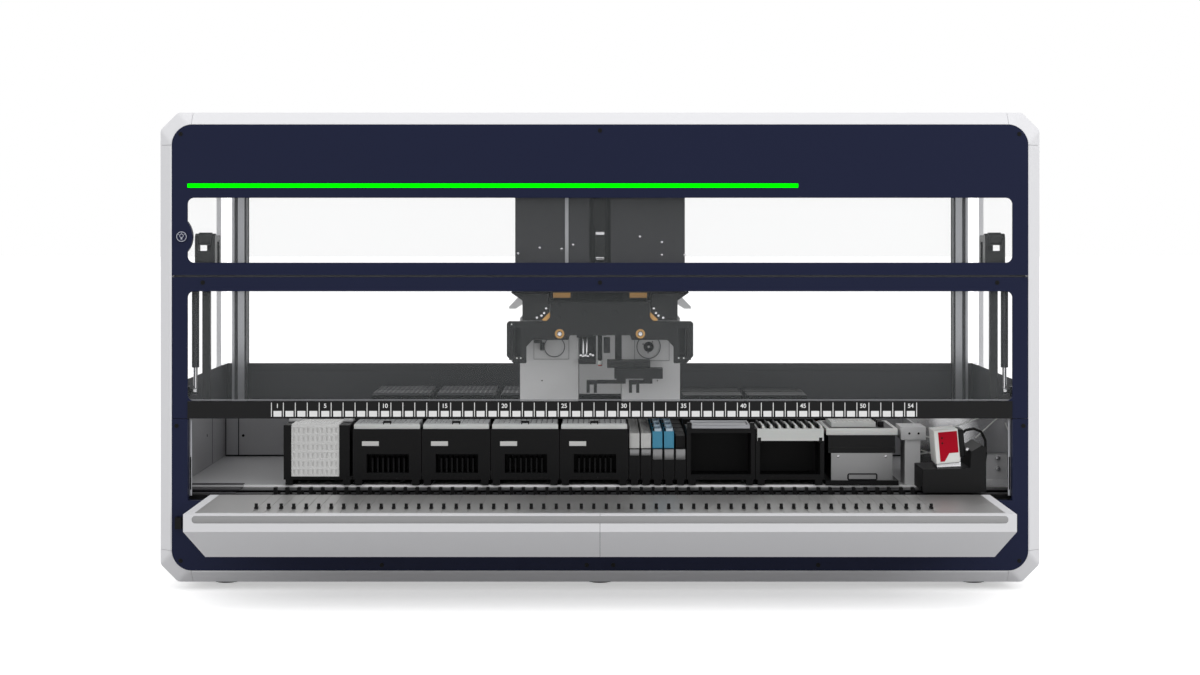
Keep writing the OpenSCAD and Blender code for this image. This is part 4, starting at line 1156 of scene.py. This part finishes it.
class ROBOT_OT_tower(bpy.types.Operator):
    """Seams, screws and latch on the front of the arm tower"""

    bl_idname = "robot.tower"
    bl_label = "Tower front"

    def execute(self, context):
        y = corners("arm_tower")[0].y + 3
        heads = [(-118, y, 645), (-75, y, 643), (-52.5, y, 651), (-160, y, 634)]
        heads += [(78, y, 667), (121, y, 656), (121, y, 631), (165, y, 631)]
        head = turned("tower_screws", (0, -0.6, 0), 2.4, 1.4, sides=16)
        finish(spread(head, heads), "gantry_arm", ground_steel())
        lines = surface("tower_line", linear("#2B2A2D"), (0.5, 0.6), 1.11, vary=0.05, relief=0.1)
        seams = [block("tower_seams", (x, y - 0.3, 605), (x + 1, y + 0.2, 850), 0) for x in (-23, 22, 71)]
        finish(join(seams), "gantry_arm", lines, "black_metal")
        strip = block("tower_strip", (-68.4, y - 3.4, 577.5), (-61.6, y - 2.9, 851.5), 0.2, 1)
        finish(strip, "gantry_arm", profile_aluminium())
        back = block("tower_back", (-162, y + 336, 561), (162, y + 338.5, 854), 0)
        sink(back, front_faces, 12, 0.8)
        finish(back, "gantry_arm", dark_sheet())
        latch = block("latch_lever", (-8, y - 0.6, 628), (8, y + 5, 680), 1.2)
        lugs = [turned("latch_lever", (x, y - 0.6, 639), 1.6, 1, sides=14) for x in (-8, 8)]
        finish(join([latch] + lugs), "gantry_arm", black_metal())
        bright = block("latch_edge", (-8.4, y - 1.6, 670), (8.4, y - 0.2, 676.5), 0.5)
        foot = block("latch_edge", (-8, y - 1.2, 622), (8, y - 0.2, 627), 0.4)
        finish(join([bright, foot]), "gantry_arm", ground_steel())
        return {"FINISHED"}


class ROBOT_OT_case(bpy.types.Operator):
    """Base pan, light strip, painted highlight on the label bar, gap seal, button mark and jambs of the
    case
    """

    bl_idname = "robot.case"
    bl_label = "Case trim"

    def execute(self, context):
        self.base()
        self.front()
        self.jambs()
        return {"FINISHED"}

    def base(self):
        """The folded base pan with its chamfered corners."""
        lo, hi = corners("base_frame")
        pan = block("base_pan", (lo.x + 0.1, lo.y, lo.z), (hi.x - 0.1, hi.y - 0.1, 76.7), 0)
        take(pan)
        bpy.ops.object.mode_set(mode="EDIT")
        bpy.ops.mesh.select_mode(type="EDGE")
        bpy.ops.mesh.select_all(action="DESELECT")
        mesh = bmesh.from_edit_mesh(pan.data)
        for edge in mesh.edges:
            middle = (edge.verts[0].co + edge.verts[1].co) * 500
            edge.select_set(abs(middle.x) > hi.x - 1 and middle.z < lo.z + 1)
        bmesh.update_edit_mesh(pan.data)
        bpy.ops.mesh.bevel(offset=0.033, segments=1, affect="EDGES")
        bpy.ops.mesh.select_all(action="DESELECT")
        bpy.ops.object.mode_set(mode="OBJECT")
        finish(pan, "root", white_paint(), "white_paint", "base_frame")

    def front(self):
        """Light strip, painted highlight along the top edge of the label bar, gap seal and the mark on the
        button.
        """
        lo, hi = corners("led_strip")
        middle = (lo.z + hi.z) / 2
        bar = block("light_strip", (lo.x, lo.y, middle - 3.9), (hi.x, hi.y, middle + 3.9), 1.1, 3)
        finish(bar, "root", light_bar(), "light_bar", "led_strip")
        # grey of the gap seal, also used for the painted highlight on the label bar
        seal_and_highlight = surface("seal_rubber_and_highlight", linear("#8D8E92"), (0.5, 0.6), 1.67, vary=0.05, relief=0.1)
        y = corners("hinge_brackets")[0].y
        # light grey line along the top edge of the label bar: painted highlight
        edge = block("label_bar_top_highlight", (-776, -251.2, 359.4), (776, -250.2, 361.4), 0.2, 1)
        finish(edge, "front_cover", seal_and_highlight, "white_plastic")
        seal = block("gap_seal", (-805, y + 0.3, 590.8), (805, y + 1.6, 599), 0.3, 1)
        finish(seal, "root", seal_and_highlight, "black_plastic")
        lo, hi = corners("light_button")
        x, y, z = (lo.x + hi.x) / 2, lo.y, (lo.z + hi.z) / 2
        ink = surface("mark_ink", linear("#B9BCC8"), (0.5, 0.6), 1.11, vary=0.03, relief=0.05)
        parts = []
        for radius, width, lift in ((9, 0.7, 0), (3.4, 0.55, 1.6)):
            parts.append(ring("button_mark", (x, y, z + lift), radius, width, 40, 6))
        parts.append(
            block("button_mark", (x - 1.5, y - 0.3, z - 5.4), (x + 1.5, y + 0.3, z - 1.8), 0.15, 1)
        )
        for turn in (-60, 0, 60):
            angle = math.radians(90 + turn)
            place = (x + 6.4 * math.cos(angle), y, z + 1.6 + 5.2 * math.sin(angle))
            parts.append(turned("button_mark", place, 0.7, 0.6, sides=10, edge=0.1))
        finish(join(parts), "light_button", ink, "white_plastic")

    def jambs(self):
        """Slotted light strips beside the loading opening."""
        for side, name in SIDES:
            near, far = mirrored(side, 771.5, 776.8)
            strip = block(f"jamb_{name}", (near, -239.5, 178.5), (far, -236, 323.5), 0.5)
            finish(strip, "root", profile_aluminium())
            slot = block(
                f"jamb_slot_{name}", (side * 774 - 1.2, -240, 190), (side * 774 + 1.2, -239, 252), 0.3, 1
            )
            finish(slot, "root", black_oxide(), "black_plastic")


SIDE_WALL = 820  # from the middle to the lining of each side wall, in millimetres
REAR_WALL = 382  # just before the lower rear wall and the rear posts
REAR_PANE = 407.5  # just before the rear window
INNER_FLOOR, WALL_TOP, SILL, PANE_TOP = 181.6, 300, 383, 814  # levels that the linings end at
POST_FOOT, POST_TOP = 303, 858  # ends of the dark strips of painted shade on the rear posts


class ROBOT_OT_lining(bpy.types.Operator):
    """Inner wall sheets, lighter low down as painted light, corner panes that glow as painted light, dark
    strips of painted shade on the posts, and the sheets beside the pin row
    """

    bl_idname = "robot.lining"
    bl_label = "Inner linings"

    def execute(self, context):
        # lighter grey for the sheets below the wall top than the dark sheet above: painted light where
        # light falls in through the front opening
        wall = surface("painted_light_wall_sheet", linear("#A4A4A7"), (0.35, 0.5), 1.11, vary=0.06, relief=0.1)
        opal = self.opal()
        for side, name in SIDES:
            near, far = mirrored(side, SIDE_WALL + 0.4, SIDE_WALL + 1.6)
            low = block(
                f"side_sheet_low_{name}", (near, -98, INNER_FLOOR), (far, REAR_WALL - 1, WALL_TOP), 0
            )
            finish(low, "root", wall, "dark_sheet")
            high = block(
                f"side_sheet_high_{name}", (near, -98, WALL_TOP + 0.2),
                (far, REAR_PANE + 1.5, SILL - 0.5), 0,
            )
            finish(high, "root", dark_sheet())
            near, far = mirrored(side, 640 if side < 0 else 600, SIDE_WALL)
            back = block(
                f"rear_sheet_{name}", (near, REAR_WALL - 0.5, INNER_FLOOR),
                (far, REAR_WALL + 1.2, WALL_TOP), 0,
            )
            finish(back, "root", wall, "dark_sheet")
            near, far = mirrored(side, SIDE_WALL - 2, SIDE_WALL + 1.4)
            # corner panes that glow as painted light
            pane = block(
                f"corner_pane_{name}", (near, REAR_PANE - 60.5, SILL), (far, REAR_PANE + 1.5, PANE_TOP),
                0.4, 1,
            )
            near, far = mirrored(side, SIDE_WALL - 14, SIDE_WALL - 2)
            rear = block(
                f"corner_pane_{name}", (near, REAR_PANE + 0.1, SILL), (far, REAR_PANE + 1.9, PANE_TOP),
                0.4, 1,
            )
            finish(join([pane, rear]), "root", opal, "white_plastic")
            # two dark strips on each rear post: painted shade along its edge and on its face
            near, far = mirrored(side, 772.8, 777.6)
            edge_shade = block(
                f"post_painted_shade_{name}", (near, REAR_WALL + 0.4, POST_FOOT), (far, REAR_WALL + 2.4, POST_TOP),
                0.4, 1,
            )
            x = side * 796
            shade_lip = block(
                f"post_painted_shade_{name}", (x - 3.5, REAR_WALL + 0.9, POST_FOOT),
                (x + 3.5, REAR_WALL + 2.4, POST_TOP), 0.4, 1,
            )
            finish(join([edge_shade, shade_lip]), "root", dark_sheet())
        sill = block(
            "rear_sill_sheet", (-774, REAR_PANE - 0.1, SILL - 17), (774, REAR_PANE + 2.1, SILL), 0.4, 1
        )
        finish(sill, "root", dark_sheet())
        self.marks()
        self.trough()
        return {"FINISHED"}

    def opal(self):
        # pale acrylic in the rear corners; its glow is painted light that makes the dark corners read
        # white
        pane = surface("painted_light_acrylic", linear("#F4F4F4"), (0.3, 0.4), 3.33, vary=0.01, relief=0.02)
        return glow(pane, 0.75)

    def marks(self):
        """Dark joints and rivets of the inner sheets."""
        y = REAR_WALL - 0.4
        joints = [block("sheet_joints", (-SIDE_WALL - 0.6, 232, 184), (-SIDE_WALL, 234.5, 290), 0)]
        joints += [block("sheet_joints", (x, y - 0.7, 184), (x + 2, y, 290), 0) for x in (-819, -791, 788)]
        joints += [
            block("sheet_joints", (near, y - 1.2, INNER_FLOOR + 0.1), (far, y, 184.5), 0)
            for near, far in ((-819, -640), (600, 819))
        ]
        joints += [turned("sheet_joints", (-780, y - 0.3, 226.5), 3, 1, sides=16)]
        joints += [turned("sheet_joints", (-SIDE_WALL - 0.4, 175, 248.4), 3, 1, "X", 16)]
        finish(join(joints), "root", black_oxide(), "black_plastic")

    def trough(self):
        """Grey sheets between deck and tray, with a round lug beside every pin."""
        grey = surface("trough_sheet", linear("#3E3E40"), (0.3, 0.45), 2, vary=0.12, relief=0.12)
        rows = [(-196.5, -178.5), (-141.5, -101.2)]
        parts = [
            block("trough_sheets", (-697, near, 174.8), (811, far, 176.6), 0.3, 1)
            for near, far in rows
        ]
        finish(join(parts), "root", grey, "dark_sheet")
        ends = [
            block("trough_ends", (-811, near, 174.8), (-698, far, 177.4), 0.3, 1)
            for near, far in rows
        ]
        ends += [block("trough_ends", (-811, -99.8, 181.3), (-698, -84, 182.6), 0.3, 1)]
        finish(join(ends), "root", dark_sheet())
        y = corners("guide_pins")[1].y - 5
        lug = turned("pin_lugs", (0, y, 176.8), 2.6, 8, "Z", 12)
        places = [(track(k) + 6.6, 0, 0) for k in range(sizes().tracks + 1)]
        finish(spread(lug, places), "root", black_oxide(), "black_plastic")


# white streaks of painted highlight along the creases of the hopper plate
FOLD_HIGHLIGHTS = [  # left end, level and length in millimetres, and slope in degrees
    (640, 262, 60, -14), (640, 236, 56, 8), (640, 230, 60, -18),
    (742, 284, 60, 42), (792, 268, 56, -68), (690, 292, 70, 20),
]


class ROBOT_OT_waste(bpy.types.Operator):
    """Creased bright plate of the waste hopper, with painted highlights along its creases, and its knobs
    """

    bl_idname = "robot.waste"
    bl_label = "Waste hopper"

    def execute(self, context):
        foil = surface(
            "bright_plate", linear("#D6D6D8"), (0.16, 0.3), (71.4, 71.4, 143), 0.25, 0.5,
            metallic=0.9,
        )
        self.plate("hopper_plate_low", (633, -12.5, 184), (765, -10.6, 236), foil)
        self.plate("hopper_plate_high", (633, -14.5, 234), (814, -11.2, 304), foil)
        fold_highlights = []
        for x, z, long, turn in FOLD_HIGHLIGHTS:
            clear_selection()
            bpy.ops.mesh.primitive_cube_add(size=1, scale=(long / 1000, 0.0012, 0.0022))
            bpy.context.object.rotation_euler = (0, math.radians(-turn), 0)
            bpy.context.object.location = ((x + long / 2) / 1000, -0.0152, z / 1000)
            fold_highlights.append(settle("hopper_fold_highlights"))
        # the white bars are painted highlights on the creases
        finish(join(fold_highlights), "root", white_plastic(), "ground_steel")
        knob = [turned("hopper_knobs", (794, -21.5, z), 4.6, 4, sides=24, edge=1.2) for z in (203, 224)]
        finish(join(knob), "root", ground_steel())
        return {"FINISHED"}

    def plate(self, name, lo, hi, material):
        """A thin plate whose front is creased in shallow facets."""
        clear_selection()
        bpy.ops.mesh.primitive_grid_add(x_subdivisions=9, y_subdivisions=6, size=1)
        bpy.context.object.rotation_euler = FACING_FRONT
        bpy.context.object.scale = ((hi[0] - lo[0]) / 1000, (hi[2] - lo[2]) / 1000, 1)
        bpy.context.object.location = (
            (lo[0] + hi[0]) / 2000, (lo[1] + 0.8) / 1000, (lo[2] + hi[2]) / 2000,
        )
        piece = settle(name)
        choose(piece, all_faces)
        bpy.ops.transform.vertex_random(offset=0.0007, uniform=0.0, normal=1.0, seed=7)
        bpy.ops.mesh.extrude_region_move(TRANSFORM_OT_translate={"value": (0, 0.001, 0)})
        bpy.ops.mesh.select_all(action="SELECT")
        bpy.ops.mesh.normals_make_consistent(inside=False)
        bpy.ops.object.mode_set(mode="OBJECT")
        finish(piece, "root", material, "brushed_plate")


class ROBOT_OT_reader(bpy.types.Operator):
    """Shell, red face, back, foot and knob of the code reader"""

    bl_idname = "robot.reader"
    bl_label = "Code reader"

    def execute(self, context):
        lean = math.radians(-5)
        red = surface(
            "reader_red", linear("#B00020"), (0.35, 0.45), 2.5, vary=0.12, relief=0.05,
            specular_ior_level=0.12,
        )
        shell = block("reader_shell", (-1, -1, -1), (45, 61, 63), 0)
        rim_front(shell, 3, 0.4)
        soften(shell, 1.2)
        finish(self.lean(shell, lean), "loading_carriage", white_plastic(), "white_plastic", "scanner")
        face = block("reader_face", (7, -1.9, 18), (43, -1.2, 59), 0.3, 1)
        tail = block("reader_face", (7, -1.9, 3), (25, -1.2, 18.2), 0)
        cut(tail, (25, -1.5, 18), (0.83, 0, -0.55))
        finish(self.lean(join([face, tail]), lean), "loading_carriage", red, "white_plastic")
        lamps = [turned("reader_lamps", (13.5, -2.1, z), 1.7, 0.8, sides=16) for z in (38, 48)]
        finish(self.lean(join(lamps), lean), "loading_carriage", black_oxide(), "black_plastic")
        back = block("reader_back", (44.5, 6, 8), (57, 54, 60), 2.0)
        finish(self.lean(back, lean), "loading_carriage", black_plastic())
        foot = block("reader_foot", (0, 4, -13), (46, 52, -1.5), 1.2)
        finish(self.lean(foot, lean), "loading_carriage", ground_steel())
        knob = turned("reader_knob", (60, 3, 22), 3, 6, sides=20, edge=0.8)
        finish(self.lean(knob, lean), "loading_carriage", ground_steel())
        return {"FINISHED"}

    def lean(self, piece, angle):
        """Leans a piece modelled at the reader's corner and puts it in its place."""
        piece.data.transform(Matrix.Rotation(angle, 4, "Y"))
        piece.data.transform(Matrix.Translation((0.641, -0.214, 0.236)))
        return piece


# ---- Panel and registration ----


class ROBOT_PT_dressing(bpy.types.Panel):
    """Sizes, colours and pieces of the robot"""

    bl_label = "Liquid handling robot"
    bl_space_type = "VIEW_3D"
    bl_region_type = "UI"
    bl_category = "Robot"

    def draw(self, context):
        for group in (context.scene.robot_colours, context.scene.robot_sizes,
                      context.scene.stage_settings):
            box = self.layout.box()
            for key in type(group).__annotations__:
                box.prop(group, key)
        for piece in PIECES:
            self.layout.operator(piece.bl_idname)


GROUPS = [RobotColours, RobotSizes, StageSettings]
PIECES = [
    ROBOT_OT_finishes, ROBOT_OT_stage, ROBOT_OT_screws, ROBOT_OT_scale, ROBOT_OT_tray,
    ROBOT_OT_plates, ROBOT_OT_tips, ROBOT_OT_narrow, ROBOT_OT_stations, ROBOT_OT_arm,
    ROBOT_OT_tower, ROBOT_OT_case, ROBOT_OT_lining, ROBOT_OT_waste, ROBOT_OT_reader,
]


def register():
    """Registers the classes and hangs their settings on the scene."""
    for kind in GROUPS + PIECES + [ROBOT_PT_dressing]:
        bpy.utils.register_class(kind)
    bpy.types.Scene.robot_colours = PointerProperty(type=RobotColours)
    bpy.types.Scene.robot_sizes = PointerProperty(type=RobotSizes)
    bpy.types.Scene.stage_settings = PointerProperty(type=StageSettings)


def unregister():
    """Takes away what register added."""
    for name in ("stage_settings", "robot_sizes", "robot_colours"):
        delattr(bpy.types.Scene, name)
    for kind in reversed(GROUPS + PIECES + [ROBOT_PT_dressing]):
        bpy.utils.unregister_class(kind)


def main():
    """Dresses the loaded frame."""
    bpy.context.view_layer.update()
    register()
    for piece in PIECES:
        group, name = piece.bl_idname.split(".")
        getattr(getattr(bpy.ops, group), name)()


if __name__ == "__main__":
    main()
